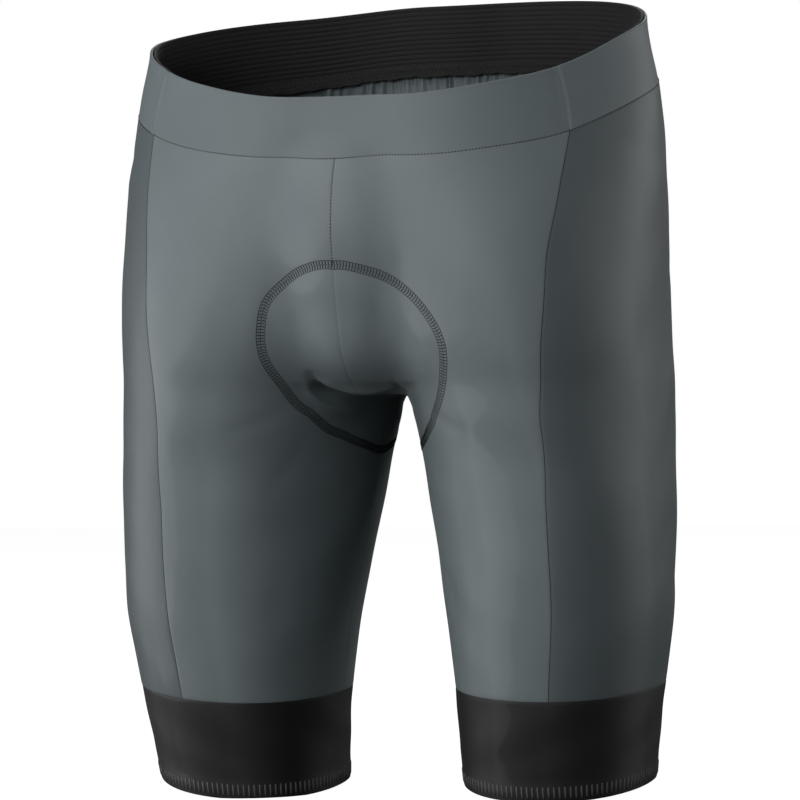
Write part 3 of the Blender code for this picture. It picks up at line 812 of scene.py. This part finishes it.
def gathers(parts):
    """The uneven gathers of a back panel under the elastic, fading out downwards.

    A wave of the share across, whose pace and depth both drift."""
    across, ring = parts["across"], parts["ring"]
    ends = np.array([0.0, 1.0])
    across, ends = [a + sines(a, GATHER_DRIFT) for a in (across, ends)]
    drift = (across - ends[0]) / (ends[1] - ends[0])
    depth = 0.70 + sines(drift, GATHER_DEPTHS)
    reach_down = GATHER_RINGS * (0.80 + sines(drift, GATHER_ENDS))
    fade = np.clip(1 - ring / reach_down, 0, 1) ** 1.3 * (0.45 + 0.55 * np.clip(ring / 0.03, 0, 1))
    lean = GATHER_LEAN * ring * np.sin(6 * drift + 0.4)
    wave = np.cos(2 * np.pi * (GATHER_COUNT * drift + lean))
    return -GATHER_DEPTH * depth * fade * (1 - wave)


def band_shell(start, end, columns, ridge):
    """A stretch of the waistband between two directions, with a soft fold along its top edge.

    Ridge is how far it stands out beside its side seams, a bell curve of the distance."""
    width = length_of(round_waist(np.linspace(start, end, 49)[:, None], np.zeros((1, 1))))[0]
    height = length_of(round_waist(np.array([start, start]), np.array([1.0, 0.0])))
    across = spaced(width, columns)[None, :]
    share = spaced(height, 10)[:, None]
    grid = round_waist(start + (end - start) * across, share)
    side, foot = from_edge(across, width), share * height
    bent = side - 0.0016 * np.sin(np.pi * share)
    beside = ridge * bell(bent - 0.0018, 0.0015)
    fold = TOP_FOLD * bell(height - foot, 0.0035)
    lift = 0.25 * relief(grid) + dip(foot) + beside + fold
    uv = flat_map(across * width, foot)
    return shell(drawn_in(grid, SEWN_GAP), uv, foot + 0 * side, BAND_WALL, lift, free=height - foot)


def elastic_shell(start, end, columns=170, steps=10):
    """The ribbed elastic behind the waistband's back.

    Each rib is a rounded arch, the fourth root of a sine squared down the height, raised inwards."""
    share = np.linspace(0, 1, RIBS * steps + 1)[:, None]
    across = np.linspace(0, 1, columns)[None, :]
    level = ELASTIC_FOOT + (ELASTIC_TOP - ELASTIC_FOOT) * share
    grid = drawn_in(round_waist(start + (end - start) * across, level), ELASTIC_GAP, rows=False)
    width, height = length_of(grid[0]), length_of(grid[:, 0])
    arch = np.abs(np.sin(np.pi * RIBS * share)) ** 0.5
    slow = 1 + 0.12 * np.sin(2 * np.pi * across * 9 + 0.7)
    edge = np.minimum(from_edge(across, width), from_edge(share, height))
    uv = flat_map(across * width, share * height)
    depth = np.full(grid.shape[:2], -(BAND_WALL + SEAM_GAP))
    return shell(grid, uv, edge, ELASTIC_WALL, depth, ribs=RIB_HEIGHT * arch * slow)


def skirt_depth(share):
    """How far the overlocked edge under the elastic lies inside the form, more further down."""
    return 0.0026 + 0.0030 * np.clip(-share / 0.22, 0, 1)


def skirt_shell(start, end, columns=300, rows=12):
    """The overlocked edge that hangs below the elastic, its lower end a little uneven."""
    turn = np.linspace(start, end, columns)[None, :]
    low = -0.215 + 0.018 * np.sin(41 * turn + 0.4) * np.sin(17 * turn) + 0.006 * np.sin(131 * turn)
    share = 0.04 + (low - 0.04) * np.linspace(0, 1, rows)[:, None]
    grid = round_waist(turn + 0 * share, share)
    far = np.full(grid.shape[:2], 1.0)
    uv = flat_map(0.13 * turn, 0.036 * share)
    return shell(grid, uv, far, SKIRT_WALL, -skirt_depth(share))


def gripper_shell(right, columns=180, rows=22):
    """The gripper round a leg: a tube with a soft fold at its hem and slow waves round it."""
    turn = np.linspace(0, 2 * np.pi, columns + 1)[:-1][None, :]
    height = GRIPPER_HEIGHT
    share = spaced(height, rows)[:, None]
    grid = round_leg(turn, share)
    girth = length_of(np.concatenate([grid[0], grid[0, :1]]))
    if right:
        grid = grid * (-1, 1, 1)
    foot = (1 - share) * height + 0 * turn
    hem = HEM_FOLD * bell(foot - BAR_HEIGHT, 0.0040)
    sway = 0.0002 * np.sin(5 * turn + 11 * share + (1.3 if right else 0.2))
    lift = dip(share * height) + 0.3 * relief(grid) * (1 - share)
    lift = lift + hem + sway * np.clip(foot / 0.012 - 1, 0, 1)
    uv = flat_map(turn / (2 * np.pi) * girth, foot)
    return *shell(grid, uv, height - foot, GRIPPER_WALL, lift, around=True, free=foot), girth


def pad_shell(rows=30, columns=160):
    """The seat pad as a disc on the form, thickest in the middle, with channels on its inner face.

    Thickness falls with the square of the share outwards; each channel is a bell curve across it."""
    turn = np.linspace(0, 180, columns // 2 + 1)
    rings, acrosses = pad_marks(turn)
    share = (np.linspace(1 / rows, 1, rows) ** 1.1)[:, None]
    ring = CROTCH_RING + share * (rings - CROTCH_RING)
    across = share * acrosses
    front = turn <= 90
    half = np.concatenate([
        between(front_inner, front_side, across[:, front], ring[:, front]),
        between(back_side, back_inner, 1 - across[:, ~front], ring[:, ~front]),
    ], axis=1)
    grid = np.concatenate([half, half[:, -2:0:-1] * (-1, 1, 1)], axis=1)
    count = grid.shape[1]
    points = np.concatenate([grid.reshape(-1, 3), FRONT_MIDDLE[-1:]])
    shares = np.concatenate([np.repeat(share, count), [0.0]])
    thick = PAD_EDGE + (PAD_MIDDLE - PAD_EDGE) * (1 - shares**2)
    x, y = points[:, 0], points[:, 1]
    channel = bell(x, 0.0035) + bell(np.abs(x) - 0.026, 0.003)
    quilt = 0.5 + 0.5 * np.cos(2 * np.pi * y / 0.014) * np.cos(2 * np.pi * x / 0.014)
    thick = thick - (1 - shares**4) * (CHANNEL_DEPTH * channel + QUILT_DEPTH * quilt)
    edge = np.clip((shares - 0.94) / 0.06, 0, 1)
    out = outward(points)
    pressed = np.minimum(relief(points), 0) - PANEL_WALL - PAD_SLACK - 0.0005 * edge**2
    outer = points + out * pressed[:, None]
    inner = outer - out * (thick * (1 - 0.5 * edge**2))[:, None]
    first = np.arange(count)
    fan = np.stack([np.roll(first, -1), first, np.full(count, rows * count)], -1)
    faces = np.concatenate([grid_faces(rows, count, True), fan])
    rim = np.arange((rows - 1) * count, rows * count)[::-1]
    return *closed(outer, inner, faces, [rim]), np.concatenate([points[:, :2], points[:, :2]])


def laid(line, shares, aside, raised, bare):
    """Points along a polyline on the form, set aside and raised, and the ways along, out and aside.

    Where it isn't bare, the points follow the creases of the cloth."""
    at = by_length(line, shares)
    step = 0.0008 / length_of(line)
    way = by_length(line, np.clip(shares + step, 0, 1)) - by_length(line, np.clip(shares - step, 0, 1))
    way = way / np.linalg.norm(way, axis=-1, keepdims=True)
    out = outward(at)
    side = np.cross(out, way)
    side = side / np.linalg.norm(side, axis=-1, keepdims=True)
    at = at + side * aside
    at = at - form(at)[:, None] * out
    lift = np.broadcast_to(raised + (0 if bare else relief(at)), shares.shape)
    return at + out * lift[:, None], way, out, side


def end_caps(rings, around):
    """Triangles from the first and the last ring of a bead or cord to the two points after them."""
    first = np.arange(around)
    after = np.roll(first, -1)
    last = (rings - 1) * around
    tail = np.full(around, rings * around)
    return [np.stack([after, first, tail], -1), np.stack([first + last, after + last, tail + 1], -1)]


def spindle(ends, around=6):
    """A stitch: a rounded bead along X, from rings of six points, with half sizes of 1.

    Ends gives the place and the radius of its outer rings."""
    turn = 2 * np.pi * np.arange(around) / around
    ring = np.stack([np.zeros(around), np.cos(turn), np.sin(turn)], -1)
    steps = ((-ends[0], ends[1]), (0.0, 1.0), ends)
    rings = [ring * r + (x, 0, 0) for x, r in steps]
    points = np.concatenate(rings + [[(-1.0, 0, 0), (1.0, 0, 0)]])
    faces = [grid_faces(len(steps), around, True)] + end_caps(len(steps), around)
    return points, np.concatenate(faces)


def stitches(line, pitch, half_sizes, raised, aside=0.0, slant=0.0, bare=False, ends=(0.72, 0.72)):
    """A row of stitches along a polyline on the form.

    Each is a spindle of the given half length, half width and half height, turned by the slant
    in degrees from along the line, and set aside and raised from it."""
    count = max(2, int(round(length_of(line) / pitch)))
    shares = (np.arange(count) + 0.5) / count
    middle, way, out, side = laid(line, shares, aside, raised, bare)
    angle = np.radians(slant)
    along = way * np.cos(angle) + side * np.sin(angle)
    beside = np.cross(out, along)
    bead, faces = spindle(ends)
    points = middle[:, None] + sum(
        bead[None, :, k:k + 1] * half_sizes[k] * axis[:, None]
        for k, axis in enumerate((along, beside, out))
    )
    steps = np.arange(count)[:, None, None] * len(bead)
    return points.reshape(-1, 3), (faces[None] + steps).reshape(-1, 3)


def piping(line, width, height, aside=0.0, raised=0.0, pitch=0.0012, sides=6):
    """A fine cord laid along a polyline on the form: an oval section carried along the path."""
    count = max(4, int(round(length_of(line) / pitch)))
    middle, _, out, side = laid(line, np.linspace(0, 1, count), aside, raised, False)
    turn = 2 * np.pi * np.arange(sides) / sides
    ring = (
        side[:, None] * width * np.cos(turn)[None, :, None]
        + out[:, None] * height * np.sin(turn)[None, :, None]
    )
    points = np.concatenate([(middle[:, None] + ring).reshape(-1, 3), middle[:1], middle[-1:]])
    faces = [grid_faces(count, sides, True)] + end_caps(count, sides)
    return facing_out(points, np.concatenate(faces))


def joined(bodies):
    """Several bodies as one set of points and faces."""
    points, faces = zip(*bodies)
    starts = np.cumsum([0] + [len(p) for p in points])
    return np.concatenate(points), np.concatenate([f + start for f, start in zip(faces, starts)])


def other_side(line):
    """A polyline of the wearer's left side, on the right."""
    return line * (-1, 1, 1)


def cut(line, first, last):
    """The stretch of a polyline between two shares of its length."""
    count = max(24, int(length_of(line) * (last - first) / 0.003))
    return by_length(line, np.linspace(first, last, count))


def placed(name, data):
    """An object of the given data, in the scene."""
    thing = bpy.data.objects.new(name, data)
    bpy.context.scene.collection.objects.link(thing)
    return thing


def put(name, body, material, solid=None, girth=None):
    """An object at the origin from points and triangles, with a UV map in metres where it has one.

    Solid is the node that it replaces. Girth is the length round a tube: the
    faces that close it get its far end for their near one."""
    points, faces = settled(np.asarray(body[0], float)), body[1]
    mesh = bpy.data.meshes.new(name)
    mesh.vertices.add(len(points))
    mesh.vertices.foreach_set("co", np.asarray(points, np.float32).ravel())
    mesh.loops.add(faces.size)
    mesh.loops.foreach_set("vertex_index", faces.ravel().astype(np.int32))
    mesh.polygons.add(len(faces))
    mesh.polygons.foreach_set("loop_start", np.arange(0, faces.size, 3, dtype=np.int32))
    mesh.update(calc_edges=True)
    mesh.validate()
    if len(body) > 2:
        corner = body[2][faces]
        if girth is not None:
            low = corner[..., 0] < girth / 2
            split = np.ptp(corner[..., 0], axis=1) > girth / 2
            corner[..., 0] += girth * (low & split[:, None])
        layer = mesh.uv_layers.new(name="cloth")
        layer.data.foreach_set("uv", corner.reshape(-1).astype(np.float32))
    mesh.materials.append(material)
    mesh.shade_smooth()
    thing = placed(name, mesh)
    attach(thing, BODY)
    if solid:
        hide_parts(solid)
    return thing


# The scale at which a wave texture has one band a metre
ONE_BAND = 0.314159


def node(tree, kind, settings=(), **inputs):
    """A node with its settings and its inputs: each a value or another's output, by name, or by
    number after an n."""
    made = tree.nodes.new(kind)
    for name, value in dict(settings).items():
        setattr(made, name, value)
    for name, value in inputs.items():
        key = int(name[1:]) if name[1:].isdigit() else name.replace("_", " ")
        if isinstance(value, bpy.types.NodeSocket):
            tree.links.new(value, made.inputs[key])
        else:
            made.inputs[key].default_value = value
    return made


def opaque(colour):
    """A colour with its alpha."""
    return (*colour, 1.0)


def knit_bump(tree, wale, course, strength, depth):
    """A fine knit: waves across and along the cloth's UV map, in metres, as a bump."""
    where = node(tree, "ShaderNodeUVMap", {"uv_map": "cloth"}).outputs["UV"]
    waves = [
        node(
            tree, "ShaderNodeTexWave", {"bands_direction": way}, Vector=where,
            Scale=ONE_BAND / pitch, Distortion=bent,
        ).outputs["Fac"]
        for way, pitch, bent in (("X", wale, 0.0), ("Y", course, 0.6))
    ]
    both = node(tree, "ShaderNodeMath", {"operation": "MULTIPLY_ADD"}, n0=waves[0], n1=0.6, n2=waves[1])
    bump = node(tree, "ShaderNodeBump", Height=both.outputs[0], Strength=strength, Distance=depth)
    return bump.outputs["Normal"]


def mottle(tree, colour):
    """Faint unevenness of a colour, by noise on Object coordinates."""
    where = node(tree, "ShaderNodeTexCoord").outputs["Object"]
    noise = node(tree, "ShaderNodeTexNoise", Vector=where, Scale=60.0, Detail=3.0, Roughness=0.6)
    darker, lighter = [opaque(tuple(c * level for c in colour)) for level in (0.95, 1.05)]
    mix = node(
        tree, "ShaderNodeMix", {"data_type": "RGBA"}, n0=noise.outputs["Fac"], n6=darker, n7=lighter
    )
    return mix.outputs[2]


def finish(name, colour, roughness, knit=None, mottled=False, **levels):
    """A Principled material, which may have a knit's bump and a mottled colour."""
    material = bpy.data.materials.new(name)
    material.use_nodes = True
    material.diffuse_color = opaque(colour)
    tree = material.node_tree
    shader = tree.nodes["Principled BSDF"]
    levels = {"Base Color": opaque(colour), "Roughness": roughness, **levels}
    for socket, level in levels.items():
        shader.inputs[socket.replace("_", " ")].default_value = level
    if knit:
        tree.links.new(knit_bump(tree, *knit), shader.inputs["Normal"])
    if mottled:
        tree.links.new(mottle(tree, colour), shader.inputs["Base Color"])
    return material


def satin(name, colour, roughness):
    """The satin stretch knit of the panels and the waistband."""
    return finish(
        name, colour, roughness, (0.00075, 0.00060, 0.35, 0.00006), True,
        Sheen_Weight=0.10, Sheen_Roughness=0.4, Specular_IOR_Level=0.42,
    )


PANEL_CLOTH = {
    "front": satin("front_knit", (0.150, 0.182, 0.192), 0.50),
    "side": satin("side_knit", (0.0945, 0.1155, 0.1230), 0.52),
    "back": satin("back_knit", (0.140, 0.171, 0.180), 0.52),
}
BAND_CLOTH = satin("waistband_knit", (0.136, 0.166, 0.175), 0.55)
ELASTIC_CLOTH = finish(
    "ribbed_elastic", (0.0135, 0.0136, 0.0139), 0.80, (0.0011, 0.0007, 0.4, 0.00008),
    Sheen_Weight=0.04, Specular_IOR_Level=0.3,
)
GRIPPER_CLOTH = finish(
    "gripper_knit", (0.0092, 0.0093, 0.0095), 0.60, (0.0009, 0.0007, 0.25, 0.00005),
    Sheen_Weight=0.03,
)
PAD_CLOTH = finish("pad_knit", (0.020, 0.022, 0.024), 0.8, Sheen_Weight=0.2)
# Dark thread for the stitches and the pad's overlock. It also colours the painted shade line along the
# front side seams.
DARK_THREAD_AND_SHADE = finish("dark_thread_and_shade", (0.009, 0.012, 0.013), 0.7, Specular_IOR_Level=0.3)
PALE_THREAD = finish("pale_thread", (0.210, 0.245, 0.255), 0.55, Sheen_Weight=0.1)
BLACK_THREAD = finish("black_thread", (0.006, 0.006, 0.007), 0.6, Sheen_Weight=0.1)
BAR_THREAD = finish("hem_bars", (0.085, 0.086, 0.089), 0.50)
TAPE_CLOTH = finish("turned_in_edges", (0.070, 0.086, 0.091), 0.8)


# The direction round the waist of the top of the left front side seam
SEAM_TURN = float(np.arctan2(*front_side(np.array(0.0))[1::-1]))
SIDES = {"left": OVAL_LEFT, "right": OVAL_RIGHT}


def build_panels():
    """The front, side and back panels of both legs."""
    cuts = {
        "front": (front_inner, front_side), "side": (front_side, back_side),
        "back": (back_side, back_inner),
    }
    cloths = {part: cloth_grid(*edges, PANEL_COLUMNS[part]) for part, edges in cuts.items()}
    front, back = cloths["front"], cloths["back"]
    extra = {"side": 0.0, "back": gathers(back) + oval_lift(
        back, 1 - back["across"], BACK_TURNS, PAD_OUTLINE, OVALS["back"]
    )}
    made = {}
    for word, table in SIDES.items():
        extra["front"] = oval_lift(front, front["across"], FRONT_TURNS, table, OVALS[word])
        for part, cloth in cloths.items():
            solid = part + "_" + word
            made[solid] = put(
                part + "_panel_" + word, panel_shell(cloth, extra[part], word == "right"),
                PANEL_CLOTH[part], solid,
            )
    return made


def build_waist():
    """The two stretches of the waistband, the ribbed elastic and the overlocked edge below it."""
    first, last = SEAM_TURN, np.pi - SEAM_TURN
    bands = [
        put(
            word + "_waistband", band_shell(start, end, BAND_COLUMNS[word], ridge),
            BAND_CLOTH, "waistband_" + word,
        )
        for word, start, end, ridge in (
            ("front", -np.pi - first, first, -0.0002), ("back", first, last, 0.0007)
        )
    ]
    elastic = put(
        "ribbed_waist_elastic", elastic_shell(first, last), ELASTIC_CLOTH, "waist_elastic"
    )
    skirt = put("elastic_overlock_edge", skirt_shell(first + 0.02, last - 0.02), ELASTIC_CLOTH)
    return *bands, elastic, skirt


def build_grippers():
    """The elastic band round each leg's end."""
    made = []
    for word in SIDES:
        *body, girth = gripper_shell(word == "right")
        made.append(put(
            "leg_gripper_" + word, body, GRIPPER_CLOTH, "gripper_" + word, girth
        ))
    return made


def seam_paths():
    """The lines of the left half's seams, from the top down, on the form."""
    ring = np.linspace(0, 1, 241)
    return {
        "front": front_side(ring),
        "back": back_side(ring),
        "centre_front": FRONT_MIDDLE,
        "centre_back": BACK_MIDDLE,
        "inner": INNER_SEAM,
    }


def both(line):
    """A polyline of the left and its mirror image."""
    return line, other_side(line)


# Stitches of each seam: how far apart they are, half their length, width and height, and how far
# they are raised from the cloth
FRONT_SIDE_DOTS = (0.0019, (0.00048, 0.00026, 0.00016), -0.00012)
FINE_DOTS = (0.0019, (0.00055, 0.00018, 0.00014), -0.00030)
CENTRE_FRONT_DOTS = (0.0021, (0.00038, 0.00046, 0.00026), 0.00002)
CENTRE_BACK_DOTS = (0.0019, (0.00048, 0.00026, 0.00016), -0.00026)
WAIST_DOTS = (0.0021, (0.00038, 0.00042, 0.00024), 0.0)
PALE_DOTS = (0.0017, (0.0005, 0.00015, 0.00012), -0.00006)
INSIDE_DOTS = (0.0016, (0.0007, 0.0004, 0.0003), -PANEL_WALL - 0.0011)
OVERLOCK = (0.0019, (0.00128, 0.00027, 0.00028), 0.00006)
GRIPPER_DOTS = (0.0020, (0.0005, 0.0002, 0.00015), -0.0002)
HEM_BARS = (0.0034, (0.0037, 0.00066, 0.00016), 0.00044)
BAR_ENDS = (0.86, 0.78)
TAPE = {"width": 0.0030, "height": 0.0004, "raised": -PANEL_WALL - 0.0005, "pitch": 0.004, "sides": 8}


def build_threads(paths):
    """The stitches on the seams, dark and pale ones, and a fine dark cord along each front side seam
    that is painted shade: a dark line where the seam's groove is shaded.
    """
    waist = round_waist(np.linspace(-np.pi - SEAM_TURN, np.pi - SEAM_TURN, 481), np.zeros(481))
    dark, pale = [], []
    for line in both(paths["front"]):
        dark.append(stitches(line, *FRONT_SIDE_DOTS))
        # Painted shade: a fine dark cord sunk into the front side seam, standing in for the shade line
        # in its groove.
        dark.append(piping(line, 0.00016, 0.00012, raised=-0.00012))
    for line in both(paths["back"]) + both(cut(paths["inner"], 0.10, 1)):
        dark.append(stitches(line, *FINE_DOTS))
    stitched = cut(paths["centre_front"], 0.0, 0.272)
    dark.append(stitches(stitched, *CENTRE_FRONT_DOTS))
    dark.append(stitches(cut(paths["centre_back"], 0.0, 0.46), *CENTRE_BACK_DOTS))
    dark.append(stitches(waist, *WAIST_DOTS))
    for aside in (-0.0011, 0.0011):
        pale.append(stitches(stitched, *PALE_DOTS, aside=aside))
    for line in both(cut(paths["back"], 0.0, 0.12)) + (cut(paths["centre_back"], 0.0, 0.3),):
        pale.append(stitches(line, *INSIDE_DOTS))
    return dark, pale


def build_tapes(paths):
    """The turned-in edges behind the seams: flat ovals of cloth along them, on the inside."""
    lines = [line for name in ("front", "back", "inner") for line in both(paths[name])]
    lines += [paths["centre_front"], paths["centre_back"]]
    return [piping(line, **TAPE) for line in lines]


def build_overlock():
    """The overlocked seam round the pad: two rows of short strokes between three fine cords."""
    left, right = [np.concatenate([OVALS[word], OVALS["back"][1:]]) for word in SIDES]
    whole = np.concatenate([left, other_side(right)[-2::-1]])
    bodies = []
    for aside, slant in ((-0.00135, 76), (0.00135, 104)):
        bodies.append(stitches(whole, *OVERLOCK, aside=aside, slant=slant))
    for aside, radius in ((-0.00265, 0.00018), (0.0, 0.00012), (0.00265, 0.00018)):
        bodies.append(piping(whole, radius, radius, aside=aside, raised=-0.00010))
    return bodies


def build_elastic_overlock():
    """Slanting stitches over the overlocked edge below the elastic, on the inside."""
    turn = np.linspace(SEAM_TURN + 0.03, np.pi - SEAM_TURN - 0.03, 421)
    bodies = []
    for share, slant, pitch in ((-0.02, 62, 0.0017), (-0.10, 118, 0.0019), (-0.165, 70, 0.0016)):
        line = round_waist(turn, np.full(turn.shape, share))
        depth = -skirt_depth(share) - 0.0011
        bodies.append(stitches(
            line, pitch, (0.0021, 0.00034, 0.00030), depth, slant=slant, bare=True
        ))
    return bodies


def build_gripper_seams():
    """The stitches of the join above each gripper, and the fine bars over its hem."""
    turn = np.linspace(0, 2 * np.pi, 361)
    seam, low = [
        round_leg(turn, np.full(turn.shape, share)) for share in (0.0, 1 - BAR_HEIGHT / GRIPPER_HEIGHT)
    ]
    black = [stitches(line, *GRIPPER_DOTS) for line in both(seam)]
    bars = [stitches(line, *HEM_BARS, slant=90, bare=True, ends=BAR_ENDS) for line in both(low)]
    return black, bars


panels = build_panels()
band_front, band_back, elastic, skirt = build_waist()
grippers = build_grippers()
pad = put("seat_pad_inside", pad_shell(), PAD_CLOTH, "seat_pad")

paths = seam_paths()
dark, pale = build_threads(paths)
black, bars = build_gripper_seams()
for name, bodies, material in (
    # The dark stitches, and the painted shade line along the front side seams
    ("seam_stitches", dark, DARK_THREAD_AND_SHADE),
    ("centre_seam_stitches", pale, PALE_THREAD),
    ("pad_overlock", build_overlock(), DARK_THREAD_AND_SHADE),
    ("seam_tapes_inside", build_tapes(paths), TAPE_CLOTH),
    ("black_stitches", black + build_elastic_overlock(), BLACK_THREAD),
    ("hem_bars", bars, BAR_THREAD),
):
    put(name, joined(bodies), material)


WHITE = (1.0, 1.0, 1.0)
FLOOR_DROP = 0.0006
CAMERA_TURN, CAMERA_RISE, CAMERA_ROLL = 20.0, 1.3, 1.2
CAMERA_TARGET = (0.0, 0.0, -0.235)
CAMERA_DISTANCE = 2.6
SENSOR = 36.0
LAMP_TARGET = (0.0, 0.0, -0.23)
LAMP_DISTANCE = 2.2

LAMP_SIZE = (0.8, 0.9)

# Soft lamps: direction round the object from its front, and height above level, in degrees, and
# watts
LAMPS = {
    "key": (-20, 15, 9.6),
    "key_low": (-40, -12, 14.0),
    "key_high": (-40, 45, 17.0),
    "front": (0, 15, 8.0),
    "front_low": (0, -12, 5.0),
    "left_low": (-60, -12, 4.5),
    "left_edge": (-85, -8, 19.0),
    "right_edge": (110, -12, 9.5),
    "right": (90, 15, 5.5),
    "right_back": (130, 15, 11.5),
    "back": (178, 42, 14.0),
}


def way_from(turn, rise):
    """The way from the object to a direction round it and a height above level, in degrees."""
    turn, rise = np.radians((turn, rise))
    return np.array([np.sin(turn) * np.cos(rise), -np.cos(turn) * np.cos(rise), np.sin(rise)])


def area_light(name, turn, rise, power):
    """A soft lamp at the given direction and height, turned to the middle of the object."""
    way = Vector(way_from(turn, rise))
    lamp = bpy.data.lights.new(name, "AREA")
    lamp.shape = "RECTANGLE"
    lamp.size, lamp.size_y = LAMP_SIZE
    lamp.energy = power
    thing = placed(name, lamp)
    thing.location = Vector(LAMP_TARGET) + LAMP_DISTANCE * way
    thing.rotation_euler = way.to_track_quat("Z", "Y").to_euler()


def studio():
    """A pale floor under the hems, white surroundings for the camera and the soft lamps."""
    height = CAD_BOUNDS[0][2] - FLOOR_DROP
    corners = [(x, y, height) for x, y in ((-3, -3), (3, -3), (3, 3), (-3, 3))]
    mesh = bpy.data.meshes.new("floor")
    mesh.from_pydata(corners, [], [(0, 1, 2, 3)])
    mesh.materials.append(finish(
        "floor_paper", (0.16, 0.16, 0.16), 0.9, Emission_Strength=0.97, Emission_Color=opaque(WHITE)
    ))
    floor = placed("floor", mesh)
    floor.visible_diffuse = False
    floor.visible_glossy = False

    world = bpy.data.worlds.new("studio")
    world.use_nodes = True
    tree = world.node_tree
    tree.nodes.clear()
    seen = node(tree, "ShaderNodeBackground", Color=opaque(WHITE))
    lighting = node(tree, "ShaderNodeBackground", Color=(0.93, 0.97, 1.0, 1.0), Strength=0.012)
    rays = node(tree, "ShaderNodeLightPath").outputs["Is Camera Ray"]
    mix = node(tree, "ShaderNodeMixShader", n0=rays, n1=lighting.outputs[0], n2=seen.outputs[0])
    node(tree, "ShaderNodeOutputWorld", Surface=mix.outputs[0])
    bpy.context.scene.world = world

    for name, values in LAMPS.items():
        area_light(name, *values)


def camera():
    """The camera at the photo's angle, far off with a long lens, a little rolled."""
    back = way_from(CAMERA_TURN, CAMERA_RISE)
    turn, roll = np.radians((CAMERA_TURN, CAMERA_ROLL))
    right = np.array([np.cos(turn), np.sin(turn), 0.0])
    up = np.cross(back, right)
    matrix = np.eye(4)
    matrix[:3, 0] = right * np.cos(roll) - up * np.sin(roll)
    matrix[:3, 1] = right * np.sin(roll) + up * np.cos(roll)
    matrix[:3, 2] = back
    matrix[:3, 3] = np.array(CAMERA_TARGET) + CAMERA_DISTANCE * back
    data = bpy.data.cameras.new("camera")
    data.sensor_width = SENSOR
    data.lens = SENSOR * 4062.5 / 800
    data.shift_x, data.shift_y = -5.5 / 800, 5.7 / 800
    data.clip_start, data.clip_end = 0.1, 50.0
    thing = placed("camera", data)
    thing.matrix_world = Matrix(matrix.tolist())
    bpy.context.scene.camera = thing


studio()
camera()
bpy.context.scene.view_settings.view_transform = "Standard"
bpy.context.scene.view_settings.look = "None"
